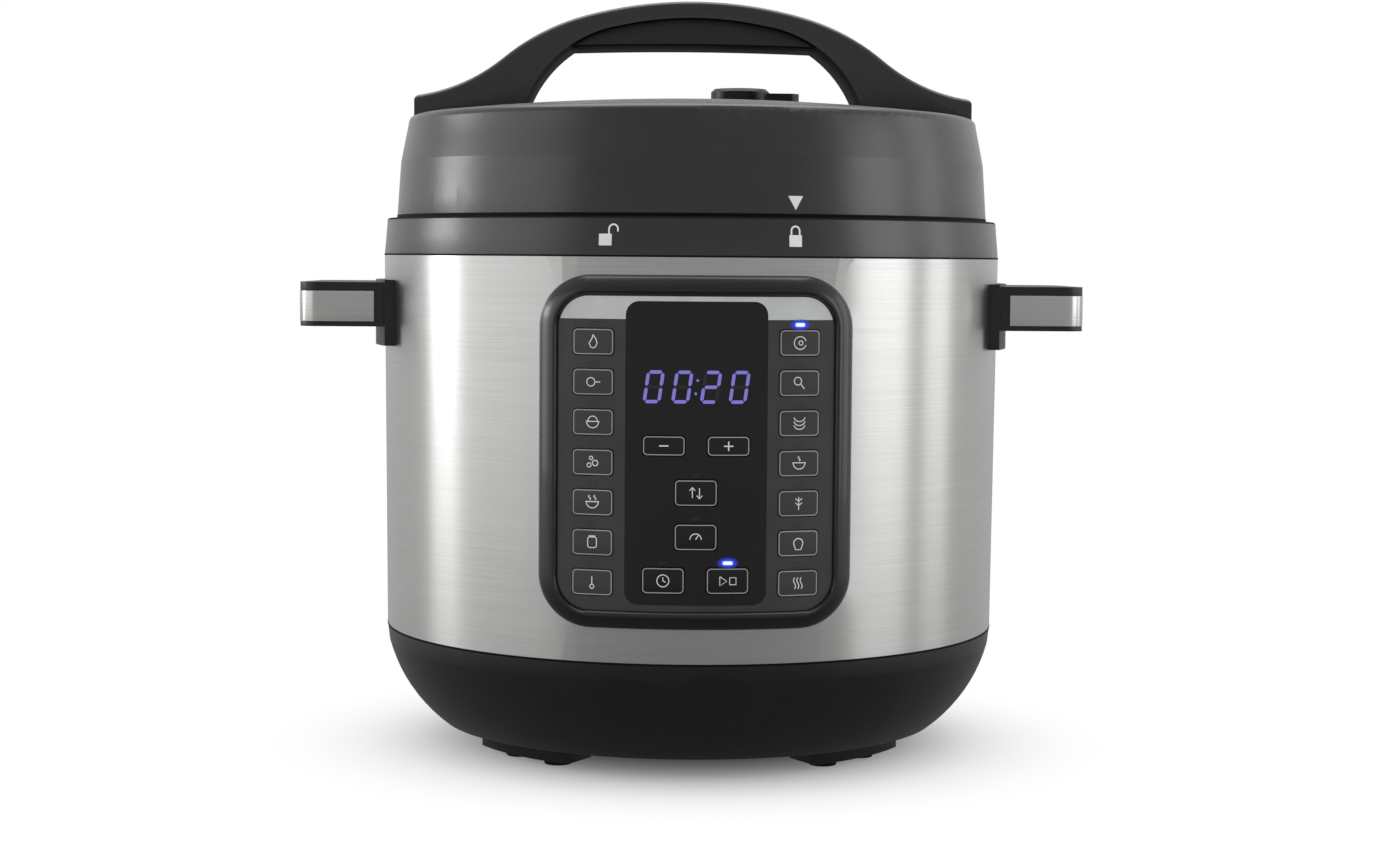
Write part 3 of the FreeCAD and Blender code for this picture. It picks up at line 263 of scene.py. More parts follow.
def make_materials():
    """One material for each slot of the record, and those of the printed and lit faces and of the painted
    shade.
    """
    return {
        "base_plastic": plastic("base_plastic", (0.006, 0.006, 0.0065), 0.36, grain=1900.0, bump=0.15),
        "foot_rubber": plastic("foot_rubber", (0.008, 0.008, 0.008), 0.75, grain=1500.0, bump=0.25,
                               specular=0.2),
        "screw_steel": metal("screw_steel", (0.45, 0.45, 0.46), 0.35),
        "brushed_band": brushed("brushed_band", (0.715, 0.71, 0.70), 0.3, stretch=(14, 14, 5200),
                                anisotropy=0.85),
        "lid_plastic": plastic("lid_plastic", (0.005, 0.005, 0.0065), 0.28, bump=0.08, specular=1.0,
                               sheen=0.18),
        "liner_metal": metal("liner_metal", (0.62, 0.62, 0.63), 0.38),
        "bright_steel": brushed("bright_steel", (0.62, 0.62, 0.62), 0.24, stretch=(30, 30, 2400),
                                anisotropy=0.5),
        "heater_metal": metal("heater_metal", (0.55, 0.55, 0.55), 0.42, grain=500.0),
        "board_green": plastic("board_green", (0.03, 0.12, 0.05), 0.35, grain=700.0, bump=0.1),
        "pot_coating": metal("pot_coating", (0.11, 0.11, 0.115), 0.45, grain=1400.0),
        "seal_silicone": plastic("seal_silicone", (0.72, 0.72, 0.70), 0.5, grain=900.0, bump=0.08),
        "grip_plastic": plastic("grip_plastic", (0.016, 0.016, 0.0165), 0.36, grain=2200.0, bump=0.1),
        # Darker, matt black, painted as shade in the handle's opening and under it.
        "handle_opening_shade": plastic("handle_opening_shade", (0.006, 0.006, 0.0065), 0.62, grain=2200.0, bump=0.1,
                                 specular=0.12),
        "float_red": plastic("float_red", (0.45, 0.03, 0.03), 0.4),
        "bezel_gloss": plastic("bezel_gloss", (0.0045, 0.0045, 0.005), 0.26, grain=2400.0, bump=0.02,
                               coat=0.3),
        "overlay_grey": plastic("overlay_grey", OVERLAY_GREY, 0.36, grain=3200.0, bump=0.05, specular=0.6),
        "window_dark": plastic("window_dark", (0.008, 0.008, 0.0085), 0.34, grain=3200.0, bump=0.03,
                               specular=0.36),
        "light_lens": lens("light_lens", (0.009, 0.009, 0.0095), OVERLAY_GREY),
        "cup_clear": clear_plastic("cup_clear", (0.80, 0.82, 0.84)),
        "pin_brass": metal("pin_brass", (0.72, 0.62, 0.38), 0.28),
        "print_white": plastic("print_white", (0.62, 0.62, 0.63), 0.5, grain=3000.0, bump=0.03),
        "print_line": plastic("print_line", (0.27, 0.27, 0.28), 0.5, grain=3000.0, bump=0.03),
        "print_mark": plastic("print_mark", (0.70, 0.70, 0.70), 0.5, grain=3000.0, bump=0.03),
        "header_silver": plastic("header_silver", (0.45, 0.46, 0.46), 0.4, grain=3000.0, bump=0.04),
        "digit_lit": glowing("digit_lit", (0.125, 0.108, 0.38), 0.66),
        "digit_unlit": plastic("digit_unlit", (0.013, 0.013, 0.018), 0.35, grain=3000.0, bump=0.02),
        # Near black for the rings of painted shade in the gaps between the shells.
        "gap_shade_black": plastic("gap_shade_black", (0.004, 0.004, 0.004), 0.6, grain=1500.0, bump=0.1,
                              specular=0.1),
        "lamp_halo": halo("lamp_halo", (0.02, 0.035, 0.55), 0.6),
        "lamp_lit": glowing("lamp_lit", (0.08, 0.16, 0.95), 1.1),
        "lamp_core": glowing("lamp_core", (0.62, 0.88, 1.0), 1.0),
    }


look = make_materials()
slots = {item["node"]: item["material_slot"] for item in frame["record"]["subparts"]}
node_body = {node: body for body, nodes in frame["record"]["behaviour"]["bodies"].items() for node in nodes}

# How the nodes' meshes are cleaned and rounded: a weld in metres, angles in degrees, and steps of a round.
WELD_REACH = 2e-6
FLAT_ANGLE = 0.4
SHARP_ANGLE = 32.0
EDGE_STEPS = 3
CREST_STEPS = 4
CREST_PROFILE = 0.5

# Softened edges of the nodes that show, in millimetres.
EDGES = {
    "lid_cover": 0.5,
    "top_collar": 0.12,
    "outer_shell": 0,
    "base_housing": 0.4,
    "lid_handle": 0.6,
    "handle_grip": 3.0,
    "steam_valve": 0.8,
    "side_handle_left": 1.3,
    "side_handle_right": 1.3,
    "handle_trims": 0.15,
    "condensation_cup": 0.6,
    "cup_holder": 0.6,
    "power_inlet": 0.5,
    "foot_pads": 0.5,
    "inner_pot": 0.3,
    "float_pin": 0.3,
    "lid_ring": 0.2,
    "lid_plate": 0.2,
    "inner_liner": 0.2,
    "lock_ring": 0.2,
    "sealing_ring": 0.6,
    "valve_guides": 0.3,
}
KEY_EDGE = 0.18

# Nodes that have a piece of their own further on.
REMADE = ("panel_bezel", "sensor_spring")

# Heights of the shallow creases that stay crisp, in millimetres.
CREASES = {"base_housing": 50.0, "lid_cover": 282.0}
CREASE_REACH = 0.05

# Wider rounding of the upper edges, in millimetres, and the tilts that tell upright faces from upward ones.
CRESTS = {"lid_handle": 2.4}
UPRIGHT_TILT = 0.2
UPWARD_TILT = 0.3

# Handle pieces whose faces towards the opening get a darker, matt material as painted shade, and the tilt
# that tells the faces that look into it.
SHADED_HANDLES = ("lid_handle", "handle_grip")
INWARD_TILT = 0.1


def link(name, mesh):
    """A new object in the scene."""
    piece = bpy.data.objects.new(name, mesh)
    bpy.context.scene.collection.objects.link(piece)
    return piece


def finish_piece(piece, body, material):
    """Put a finished piece on its body with its material."""
    piece.data.materials.clear()
    piece.data.materials.append(look[material])
    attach(piece, body)
    return piece


def apply_modifiers(piece):
    """Turn a piece's modifiers into its mesh."""
    graph = bpy.context.evaluated_depsgraph_get()
    mesh = bpy.data.meshes.new_from_object(piece.evaluated_get(graph))
    piece.modifiers.clear()
    piece.data = mesh


def shade(mesh):
    """Smooth a mesh, and keep its sharp edges crisp."""
    mesh.shade_smooth()
    mesh.set_sharp_from_angle(angle=math.radians(SHARP_ANGLE))


def round_crest(work, width):
    """Round the edges between a piece's upward faces and its upright ones."""
    crest = []
    for line in work.edges:
        tilts = sorted(face.normal.z for face in line.link_faces)
        if len(tilts) != 2 or not line.is_convex:
            continue
        if abs(tilts[0]) < UPRIGHT_TILT and tilts[1] > UPWARD_TILT:
            crest.append(line)
    bmesh.ops.bevel(work, geom=crest, offset=width * MM, segments=CREST_STEPS, profile=CREST_PROFILE,
                    affect="EDGES", clamp_overlap=True)


def cleaned(node):
    """A copy of a node's mesh, welded, with its flat faces joined and its crest rounded."""
    mesh = frame["nodes"][node].data.copy()
    work = bmesh.new()
    work.from_mesh(mesh)
    bmesh.ops.remove_doubles(work, verts=work.verts, dist=WELD_REACH)
    bmesh.ops.dissolve_limit(work, angle_limit=math.radians(FLAT_ANGLE), verts=work.verts, edges=work.edges)
    bmesh.ops.recalc_face_normals(work, faces=work.faces)
    if node in CRESTS:
        round_crest(work, CRESTS[node])
    work.to_mesh(mesh)
    work.free()
    return mesh


def soften(piece, width):
    """Round a piece's sharp edges."""
    bevel = piece.modifiers.new("edge", "BEVEL")
    bevel.width = width * MM
    bevel.segments = EDGE_STEPS
    bevel.limit_method = "ANGLE"
    bevel.angle_limit = math.radians(SHARP_ANGLE)
    bevel.use_clamp_overlap = True
    apply_modifiers(piece)


def keep_crease(mesh, height):
    """Keep the edges at one height crisp."""
    for line in mesh.edges:
        ends = [mesh.vertices[index].co.z / MM for index in line.vertices]
        if all(abs(end - height) < CREASE_REACH for end in ends):
            line.use_edge_sharp = True


def shade_opening(piece):
    """Paint shade on the faces that look into the handle's opening, and on its undersides, with a darker,
    matt material.
    """
    piece.data.materials.append(look["handle_opening_shade"])
    for face in piece.data.polygons:
        inward = -face.normal.x * math.copysign(1, face.center.x)
        if max(inward, -face.normal.z) > INWARD_TILT and face.normal.z < UPWARD_TILT:
            face.material_index = 1


def dressed(node, edge):
    """A piece with the node's shape, softened edges and smooth curves, that stands for the node."""
    piece = link(f"dressed_{node}", cleaned(node))
    if edge:
        soften(piece, edge)
    shade(piece.data)
    if node in CREASES:
        keep_crease(piece.data, CREASES[node])
    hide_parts(node)
    return finish_piece(piece, node_body[node], slots[node])


def dress_nodes():
    """Dress the nodes that show, and give the others their materials as they are."""
    for node, edge in EDGES.items():
        piece = dressed(node, edge)
        if node in SHADED_HANDLES:
            shade_opening(piece)
    for node in frame["nodes"]:
        if node.startswith("key_"):
            dressed(node, KEY_EDGE)
        elif node not in EDGES and node not in REMADE:
            plain = frame["nodes"][node]
            plain.data.materials.clear()
            plain.data.materials.append(look[slots[node]])


def dress_spring():
    """The sensor's spring, dressed and given a mesh of its own."""
    piece = dressed("sensor_spring", 0)
    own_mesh(piece)


# Places on the control panel, in millimetres along the curve and up, and degrees round the body.
FACE_RADIUS = -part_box("display_window")[0].y / MM
KEY_RADIUS = -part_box("key_middle_1")[0].y / MM
PANEL_CORNER = 14.0
WINDOW_CORNER = 6.0

# The bezel's section from outside in: the share of the way to the overlay's edge, and the radius.
BEZEL_FOOT = 147.5
BEZEL_SINK = 0.8
BEZEL_SECTION = (
    (0, BEZEL_FOOT), (0, 150.2), (0.04, 150.9), (0.18, 152.0), (0.35, 153.1), (0.52, 153.9), (0.64, 154.35),
    (0.73, 154.5), (0.82, 154.3), (0.95, 153.2), (1, 152.4), (1, FACE_RADIUS - BEZEL_SINK),
    (0.95, BEZEL_FOOT),
)
BEZEL_CORNER = 23.0
BEZEL_TURN_STEPS = 16
BEZEL_RUN_STEPS = 40

# Prints: how far they stand off the surface, their thickness, and the longest flat stretch on a curve.
PRINT_LIFT = 0.03
PRINT_THICK = 0.05
CURVE_STEP = 1.5


def arc(x, y, radius, start, end, steps=12):
    """Points along an arc, in degrees."""
    angles = [math.radians(start + (end - start) * i / steps) for i in range(steps + 1)]
    return [(x + radius * math.cos(a), y + radius * math.sin(a)) for a in angles]


def wave(x, low, high, swing=0.16, steps=10):
    """A gently waving upright line."""
    return [(x + swing * math.sin(2 * math.pi * i / steps), low + (high - low) * i / steps)
            for i in range(steps + 1)]


def rounded_outline(width, height, corner, steps=6):
    """Points round a rectangle with rounded corners."""
    points = []
    for sx, sy, start in ((1, 1, 0), (-1, 1, 90), (-1, -1, 180), (1, -1, 270)):
        middle = (sx * (width / 2 - corner), sy * (height / 2 - corner))
        points += arc(*middle, corner, start, start + 90, steps)
    return points


def ribbon(points, width, closed):
    """Four-sided shapes along a line of points."""
    count = len(points)
    sides = []
    for index, point in enumerate(points):
        before = points[index - 1] if closed or index else points[0]
        after = points[(index + 1) % count] if closed or index < count - 1 else points[-1]
        run = Vector((after[0] - before[0], after[1] - before[1])).normalized()
        across = Vector((-run.y, run.x)) * width / 2
        sides.append((Vector(point) + across, Vector(point) - across))
    pairs = zip(sides, sides[1:] + sides[:1]) if closed else zip(sides, sides[1:])
    return [(a[0], b[0], b[1], a[1]) for a, b in pairs]


def on_curve(radius, turn, along, up):
    """A point on a curve round the body, from millimetres along it and the height."""
    angle = math.radians(turn) + along / radius
    return Vector((radius * math.sin(angle), -radius * math.cos(angle), up)) * MM


def printed(name, shapes, radius, turn, middle, body, material, taper=0.0):
    """Flat closed shapes laid on a curve round the body, as one thin piece; the taper is how much the curve
    widens with each millimetre up."""
    work = bmesh.new()
    for shape in shapes:
        work.faces.new([work.verts.new((x, y, 0)) for x, y in shape])
    for face in work.faces:
        face.normal_update()
        if face.normal.z < 0:
            face.normal_flip()
    cuts = [vert.co.x for vert in work.verts]
    for step in range(math.ceil(min(cuts) / CURVE_STEP), math.floor(max(cuts) / CURVE_STEP) + 1):
        parts = work.verts[:] + work.edges[:] + work.faces[:]
        bmesh.ops.bisect_plane(work, geom=parts, plane_co=(step * CURVE_STEP, 0, 0), plane_no=(1, 0, 0))
    for vert in work.verts:
        reach = radius + PRINT_LIFT + taper * vert.co.y
        vert.co = on_curve(reach, turn, vert.co.x, middle + vert.co.y)
    mesh = bpy.data.meshes.new(name)
    work.to_mesh(mesh)
    work.free()
    piece = link(name, mesh)
    thick = piece.modifiers.new("thick", "SOLIDIFY")
    thick.thickness = PRINT_THICK * MM
    thick.offset = 1.0
    apply_modifiers(piece)
    return finish_piece(piece, body, material)


def bezel_loop(share, radius):
    """Points round the bezel, a share of the way from its outer outline to the overlay's edge."""
    (low, high), (inner_low, inner_high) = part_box("panel_bezel"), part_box("panel_overlay")
    low, high = low.lerp(inner_low, share) / MM, high.lerp(inner_high, share) / MM
    corner = BEZEL_CORNER + (PANEL_CORNER - BEZEL_CORNER) * share
    outline = rounded_outline(high.x - low.x, high.z - low.z, corner, BEZEL_TURN_STEPS)
    loop = []
    for index, (start, end) in enumerate(zip(outline, outline[1:] + outline[:1])):
        steps = BEZEL_RUN_STEPS if (index + 1) % (BEZEL_TURN_STEPS + 1) == 0 else 1
        for step in range(steps):
            x, z = Vector(start).lerp(Vector(end), step / steps)
            loop.append(Vector((x, -math.sqrt(radius * radius - x * x), z + (low.z + high.z) / 2)) * MM)
    return loop


def make_bezel():
    """The panel's frame: a round outer flank, a crest and a slope down to the overlay."""
    work = bmesh.new()
    loops = [[work.verts.new(point) for point in bezel_loop(*place)] for place in BEZEL_SECTION]
    for here, there in zip(loops, loops[1:] + loops[:1]):
        for corners in zip(here, here[1:] + here[:1], there[1:] + there[:1], there):
            work.faces.new(corners)
    bmesh.ops.recalc_face_normals(work, faces=work.faces)
    mesh = bpy.data.meshes.new("dressed_panel_bezel")
    work.to_mesh(mesh)
    work.free()
    piece = link("dressed_panel_bezel", mesh)
    shade(mesh)
    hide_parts("panel_bezel")
    finish_piece(piece, node_body["panel_bezel"], slots["panel_bezel"])


# The keys' outlines and signs, in millimetres. The plus and minus signs are smaller and bolder.
KEY_WIDTH = 18.6
KEY_CORNER = 1.6
OUTLINE_INSET = 0.25
OUTLINE_WIDTH = 0.42
SIGN_SIZE = 3.1
SIGN_LINE = 0.42
STEP_KEYS = ("key_minus", "key_plus")
STEP_SIGN_SIZE = 2.4
STEP_SIGN_LINE = 0.55

# Plain pictograms, each a list of lines in a square from about -1 to 1.
BOWL = arc(0, 0.1, 0.9, 180, 360)
RIM = [(-1, 0.1), (1, 0.1)]
CLOCK = [arc(0, 0, 0.85, 0, 360, 24), [(0, 0.5), (0, 0), (0.38, -0.2)]]
STEAM = [wave(x, 0.35, 1.0) for x in (-0.4, 0, 0.4)]
FLAME = [
    (0, 1), (0.45, 0.3), (0.6, -0.2), (0.35, -0.75), (0, -0.9), (-0.35, -0.75), (-0.6, -0.2), (-0.3, 0.2),
    (-0.1, 0.6), (0, 1),
]
SIGNS = {
    "key_left_1": [FLAME],
    "key_left_2": [arc(-0.3, 0, 0.6, 0, 360, 20), [(0.3, 0), (1.1, 0)]],
    "key_left_3": [BOWL, RIM, arc(0, 0.15, 0.7, 0, 180)],
    "key_left_4": [arc(-0.5, -0.4, 0.3, 0, 360), arc(0.4, -0.1, 0.4, 0, 360), arc(-0.2, 0.6, 0.25, 0, 360)],
    "key_left_5": [BOWL, RIM, *STEAM[::2]],
    "key_left_6": [[(-0.5, 0.9), (0.5, 0.9)], [*rounded_outline(1.3, 1.5, 0.3), (0.65, 0.45)]],
    "key_left_7": [[(0, -0.3), (0, 0.8)], arc(0, -0.6, 0.3, 0, 360)],
    "key_right_1": [arc(0, 0, 0.9, 20, 340, 20), arc(0.1, 0, 0.3, 0, 360)],
    "key_right_2": [arc(-0.3, 0.3, 0.55, 0, 360, 18), [(0.1, -0.1), (0.7, -0.8)]],
    "key_right_3": [arc(0, rise, 0.9, 200, 340) for rise in (0.05, 0.6, 1.15)],
    "key_right_4": [BOWL, RIM, STEAM[1]],
    "key_right_5": [[(0, -0.9), (0, 0.9)], [(-0.5, 0.7), (0, 0.3), (0.5, 0.7)],
                    [(-0.5, 0.1), (0, -0.3), (0.5, 0.1)]],
    "key_right_6": [[(-0.7, 0), (-0.4, -0.9), (0.4, -0.9), (0.7, 0)], arc(0, 0, 0.7, 0, 180)],
    "key_right_7": [wave(x, -0.8, 0.8) for x in (-0.5, 0, 0.5)],
    "key_minus": [[(-0.85, 0), (0.85, 0)]],
    "key_plus": [[(-0.85, 0), (0.85, 0)], [(0, -0.85), (0, 0.85)]],
    "key_middle_1": [[(-0.5, -0.7), (-0.5, 0.8)], [(-0.9, 0.35), (-0.5, 0.8), (-0.1, 0.35)],
                     [(0.5, 0.7), (0.5, -0.8)], [(0.1, -0.35), (0.5, -0.8), (0.9, -0.35)]],
    "key_middle_2": [arc(0, -0.3, 0.8, 0, 180, 16), [(0, -0.3), (0.4, 0.3)]],
    "key_bottom_left": CLOCK,
    "key_bottom_right": [[(-1.1, 0.65), (-1.1, -0.65), (-0.1, 0), (-1.1, 0.65)],
                         [(0.3, -0.5), (1.2, -0.5), (1.2, 0.5), (0.3, 0.5), (0.3, -0.5)]],
}


def key_turn(node):
    """Degrees from the front to a key's middle."""
    low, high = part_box(node)
    middle = (low + high) / 2
    return math.degrees(math.atan2(middle.x, -middle.y))


def print_keys():
    """The outline and the sign on every key."""
    inset = 2 * OUTLINE_INSET + OUTLINE_WIDTH
    for node, strokes in SIGNS.items():
        low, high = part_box(node)
        middle = (low.z + high.z) / 2 / MM
        height = (high.z - low.z) / MM
        border = rounded_outline(KEY_WIDTH - inset, height - inset, KEY_CORNER)
        turn = key_turn(node)
        body = node_body[node]
        printed(f"{node}_border", ribbon(border, OUTLINE_WIDTH, True), KEY_RADIUS, turn, middle, body,
                "print_line")
        scale, width = (STEP_SIGN_SIZE, STEP_SIGN_LINE) if node in STEP_KEYS else (SIGN_SIZE, SIGN_LINE)
        shapes = []
        for stroke in strokes:
            shapes += ribbon([(x * scale, y * scale) for x, y in stroke], width, False)
        printed(f"{node}_sign", shapes, KEY_RADIUS, turn, middle, body, "print_white")


# The clock's figures, in millimetres.
CLOCK_FIGURES = "0020"
DIGIT_HEIGHT = 14.4
DIGIT_WIDTH = 7.9
DIGIT_PITCH = 12.5
DIGIT_MIDDLE = 180.6
DIGIT_SLANT = 0.14
SEGMENT_WIDTH = 1.5
SEGMENT_GAP = 0.28
COLON_RADIUS = 0.6
COLON_RISE = DIGIT_HEIGHT / 5
COLON_SWEEP = 345

# The bars that each figure lights: a to f run clockwise from the top one, and g is the middle one.
DIGIT_SEGMENTS = {"0": "abcdef", "2": "abged"}


def segment_shapes():
    """The seven bars of one digit as six-sided shapes, before the slant."""
    half_w, half_h = DIGIT_WIDTH / 2, DIGIT_HEIGHT / 2
    bar = SEGMENT_WIDTH / 2

    def level(y):
        left, right = -half_w + bar + SEGMENT_GAP, half_w - bar - SEGMENT_GAP
        return [(left, y), (left + bar, y + bar), (right - bar, y + bar), (right, y), (right - bar, y - bar),
                (left + bar, y - bar)]

    def upright(x, low, high):
        low, high = low + SEGMENT_GAP, high - SEGMENT_GAP
        return [(x, low), (x + bar, low + bar), (x + bar, high - bar), (x, high), (x - bar, high - bar),
                (x - bar, low + bar)]

    side, top = half_w - bar, half_h - bar
    return {
        "a": level(top),
        "g": level(0),
        "d": level(-top),
        "b": upright(side, 0, top),
        "c": upright(side, -top, 0),
        "f": upright(-side, 0, top),
        "e": upright(-side, -top, 0),
    }


def print_digits():
    """The clock's figures: lit bars, dark bars and the colon."""
    bright, dark = [], []
    for place, figure in enumerate(CLOCK_FIGURES):
        spot = (place - (len(CLOCK_FIGURES) - 1) / 2) * DIGIT_PITCH
        for bar, shape in segment_shapes().items():
            group = bright if bar in DIGIT_SEGMENTS[figure] else dark
            group.append([(spot + x + DIGIT_SLANT * y, y) for x, y in shape])
    dot = arc(0, 0, COLON_RADIUS, 0, COLON_SWEEP)
    for rise in (-COLON_RISE, COLON_RISE):
        bright.append([(x + DIGIT_SLANT * rise, y + rise) for x, y in dot])
    for name, shapes in (("lit", bright), ("unlit", dark)):
        printed(f"clock_{name}", shapes, FACE_RADIUS, 0, DIGIT_MIDDLE, "cooker",
                f"digit_{name}")


# The pale band along the panel's top, in millimetres: its lower edge, its border and its steps. The lower
# edge jumps at the window's sides, and a stretch thinner than the least isn't drawn.
HEADER_LOW = 209.9
HEADER_EDGE = 0.3
HEADER_STEPS = 180
HEADER_JUMP = 1e-4
HEADER_LEAST = 1e-6


def print_header():
    """The pale band along the top of the panel, deep over the key columns and thin over the window."""
    high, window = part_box("panel_overlay")[1] / MM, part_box("display_window")[1] / MM
    half = FACE_RADIUS * math.asin(high.x / FACE_RADIUS) - HEADER_EDGE
    side = FACE_RADIUS * math.asin(window.x / FACE_RADIUS)
    top = high.z - HEADER_EDGE

    def rounded(x, reach, corner, level):
        over = min(max(abs(x) - (reach - corner), 0), corner)
        return level - corner + math.sqrt(corner * corner - over * over)

    def lower(x):
        return HEADER_LOW if abs(x) >= side else rounded(x, side, WINDOW_CORNER, window.z)

    def upper(x):
        return max(rounded(x, half, PANEL_CORNER, top), lower(x))

    xs = [half * (2 * i / HEADER_STEPS - 1) for i in range(HEADER_STEPS + 1)]
    xs = sorted(xs + [-side, side, -side + HEADER_JUMP, side - HEADER_JUMP])
    shapes = []
    for a, b in zip(xs, xs[1:]):
        if all(upper(x) - lower(x) > HEADER_LEAST for x in (a, b)):
            shapes.append([(a, lower(a)), (b, lower(b)), (b, upper(b)), (a, upper(a))])
    printed("panel_header", shapes, FACE_RADIUS, 0, 0, "cooker", "header_silver")


# The lamps that are on, over their keys, in millimetres, and the width and height of each layer as shares.
LAMP_KEYS = ("key_right_1", "key_bottom_right")
LAMP_RISE = 7.9
LAMP_LIFT = 0.1
LAMP_WIDTH = 5.0
LAMP_HEIGHT = 2.0
LAMP_ROUNDING = 2.2
LAMP_LAYERS = (("halo", 2.2, 2.9), ("lit", 1.0, 1.0), ("core", 0.78, 0.62))


def print_lamps():
    """The two indicator lights that are on, each a glow, a lens and a bright middle."""
    for node in LAMP_KEYS:
        low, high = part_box(node)
        middle = (low.z + high.z) / 2 / MM + LAMP_RISE
        radius = FACE_RADIUS + LAMP_LIFT
        turn = key_turn(node)
        for name, wide, tall in LAMP_LAYERS:
            width, height = LAMP_WIDTH * wide, LAMP_HEIGHT * tall
            shape = rounded_outline(width, height, height / LAMP_ROUNDING)
            printed(f"lamp_{name}_{node}", [shape], radius, turn, middle, "cooker",
                    f"lamp_{name}")
            radius += PRINT_THICK


# The collar and the lid where the marks lie: radius in millimetres, and how much it grows with each one up.
COLLAR_RADIUS = 149.3
COLLAR_TAPER = -0.081
LID_RADIUS = 143.55
LID_TAPER = -0.067

# The lock marks, in millimetres about their middle: the body, and a shackle's middle, radius, rise and end.
MARK_HEIGHT = 246.2
LOCK_HALF_WIDTH = 2.9
LOCK_BOTTOM = -4.4
LOCK_TOP = 0.7
SHACKLE_LINE = 0.75
SHACKLES = {"mark_closed": (0, 1.9, 2.6, LOCK_TOP), "mark_open": (3.6, 2.0, 2.8, 1.7)}
MARK_TURNS = {"mark_closed": 16.7, "mark_open": -15.6}

# The arrow on the lid, in degrees and millimetres.
ARROW_TURN = 17.5
ARROW_HEIGHT = 261.0
ARROW_HALF_WIDTH = 3.5
ARROW_HALF_HEIGHT = 3.1


def padlock(middle, radius, rise, end):
    """A padlock's body and its shackle, which stands to the right on the open one."""
    body = [(-LOCK_HALF_WIDTH, LOCK_BOTTOM), (LOCK_HALF_WIDTH, LOCK_BOTTOM), (LOCK_HALF_WIDTH, LOCK_TOP),
            (-LOCK_HALF_WIDTH, LOCK_TOP)]
    bow = arc(middle, rise, radius, 180, 0)
    shackle = [(middle - radius, LOCK_TOP), (middle - radius, rise), *bow, (middle + radius, end)]
    return [body, *ribbon(shackle, SHACKLE_LINE, False)]


def print_marks():
    """The lock marks on the collar and the arrow on the lid."""
    for name, turn in MARK_TURNS.items():
        printed(name, padlock(*SHACKLES[name]), COLLAR_RADIUS, turn, MARK_HEIGHT, "cooker",
                "print_mark", COLLAR_TAPER)
    arrow = [(-ARROW_HALF_WIDTH, ARROW_HALF_HEIGHT), (ARROW_HALF_WIDTH, ARROW_HALF_HEIGHT),
             (0, -ARROW_HALF_HEIGHT)]
    printed("mark_arrow", [arrow], LID_RADIUS, ARROW_TURN, ARROW_HEIGHT, "lid", "print_mark",
            LID_TAPER)


# Black rings of painted shade in the gaps where one shell meets the next, the rim ring also hiding the
# highlight on the collar's top chamfer: body, slot, lower and upper height, and the radius of the shell at
# each.
GAP_SHADES = {
    "base_shade_ring": ("cooker", "base_plastic", (57.3, 58.3), (148.5, 148.55)),
    "collar_shade_ring": ("cooker", "lid_plastic", (236.9, 237.7), (150.0, 150.0)),
    "rim_shade_ring": ("cooker", "lid_plastic", (253.9, 254.7), (148.6, 147.8)),
    "lid_shade_ring": ("lid", "lid_plastic", (254.85, 256.3), (143.95, 143.9)),
}
SEAM_PROUD = 0.1
SEAM_DEEP = 0.3
SEAM_STEPS = 180


def make_gap_shades():
    """Thin black rings of painted shade where one shell meets the next."""
    for name, (body, slot, (low, high), (below, above)) in GAP_SHADES.items():
        section = ((below + SEAM_PROUD, low), (above + SEAM_PROUD, high), (above - SEAM_DEEP, high),
                   (below - SEAM_DEEP, low))
        sides = len(section)
        points, faces = [], []
        for step in range(SEAM_STEPS):
            angle = 2 * math.pi * step / SEAM_STEPS
            points += [(r * math.cos(angle) * MM, r * math.sin(angle) * MM, z * MM) for r, z in section]
            here, there = sides * step, sides * ((step + 1) % SEAM_STEPS)
            for side in range(sides):
                after = (side + 1) % sides
                faces.append((here + side, there + side, there + after, here + after))
        mesh = bpy.data.meshes.new(name)
        mesh.from_pydata(points, [], faces)
        ring = link(name, mesh)
        shade(mesh)
        finish_piece(ring, body, "gap_shade_black")


# The floor, in metres: its reach, its tone, where its shadow gives way to white, and the least white.
FLOOR_REACH = 6.0
FLOOR_TONE = 0.86
FLOOR_FADE = (0.06, 0.215)
FLOOR_LEAST = 0.05

# The floor in reflections: the middle of its dim spot, the distances over which it lightens, and its levels.
FLOOR_DIM_SPOT = (0, -0.25, 0)
FLOOR_DIM_REACH = (0.05, 0.7)
FLOOR_DIM_LEVELS = (0.10, 0.42)

# The world: its fill light, and in reflections its levels in front and behind, and the depths between them.
WORLD_FILL = 0.7
MIRROR_FRONT = 0.31
MIRROR_BACK = 0.60
MIRROR_DEPTH = (-1.0, 0.3)

# Soft boxes: bearing in degrees, distance, middle height, width and height in metres, and power in watts.
SOFTBOXES = {
    "left_strip": (-99, 1.3, 0.33, 0.34, 0.6, 1.08),
    "left_lid": (-101, 1.3, 0.43, 0.40, 0.18, 0.82),
    "left_wall": (-71, 1.5, 0.45, 1.35, 0.9, 2.2),
    "right_wide": (70, 1.4, 0.4, 0.60, 0.8, 2.05),
    "right_strip": (97, 1.3, 0.4, 0.34, 0.8, 0.8),
    "ceiling": (180, 0.25, 1.6, 1.6, 1.2, 12.0),
}
LIGHT_AIM = 0.2


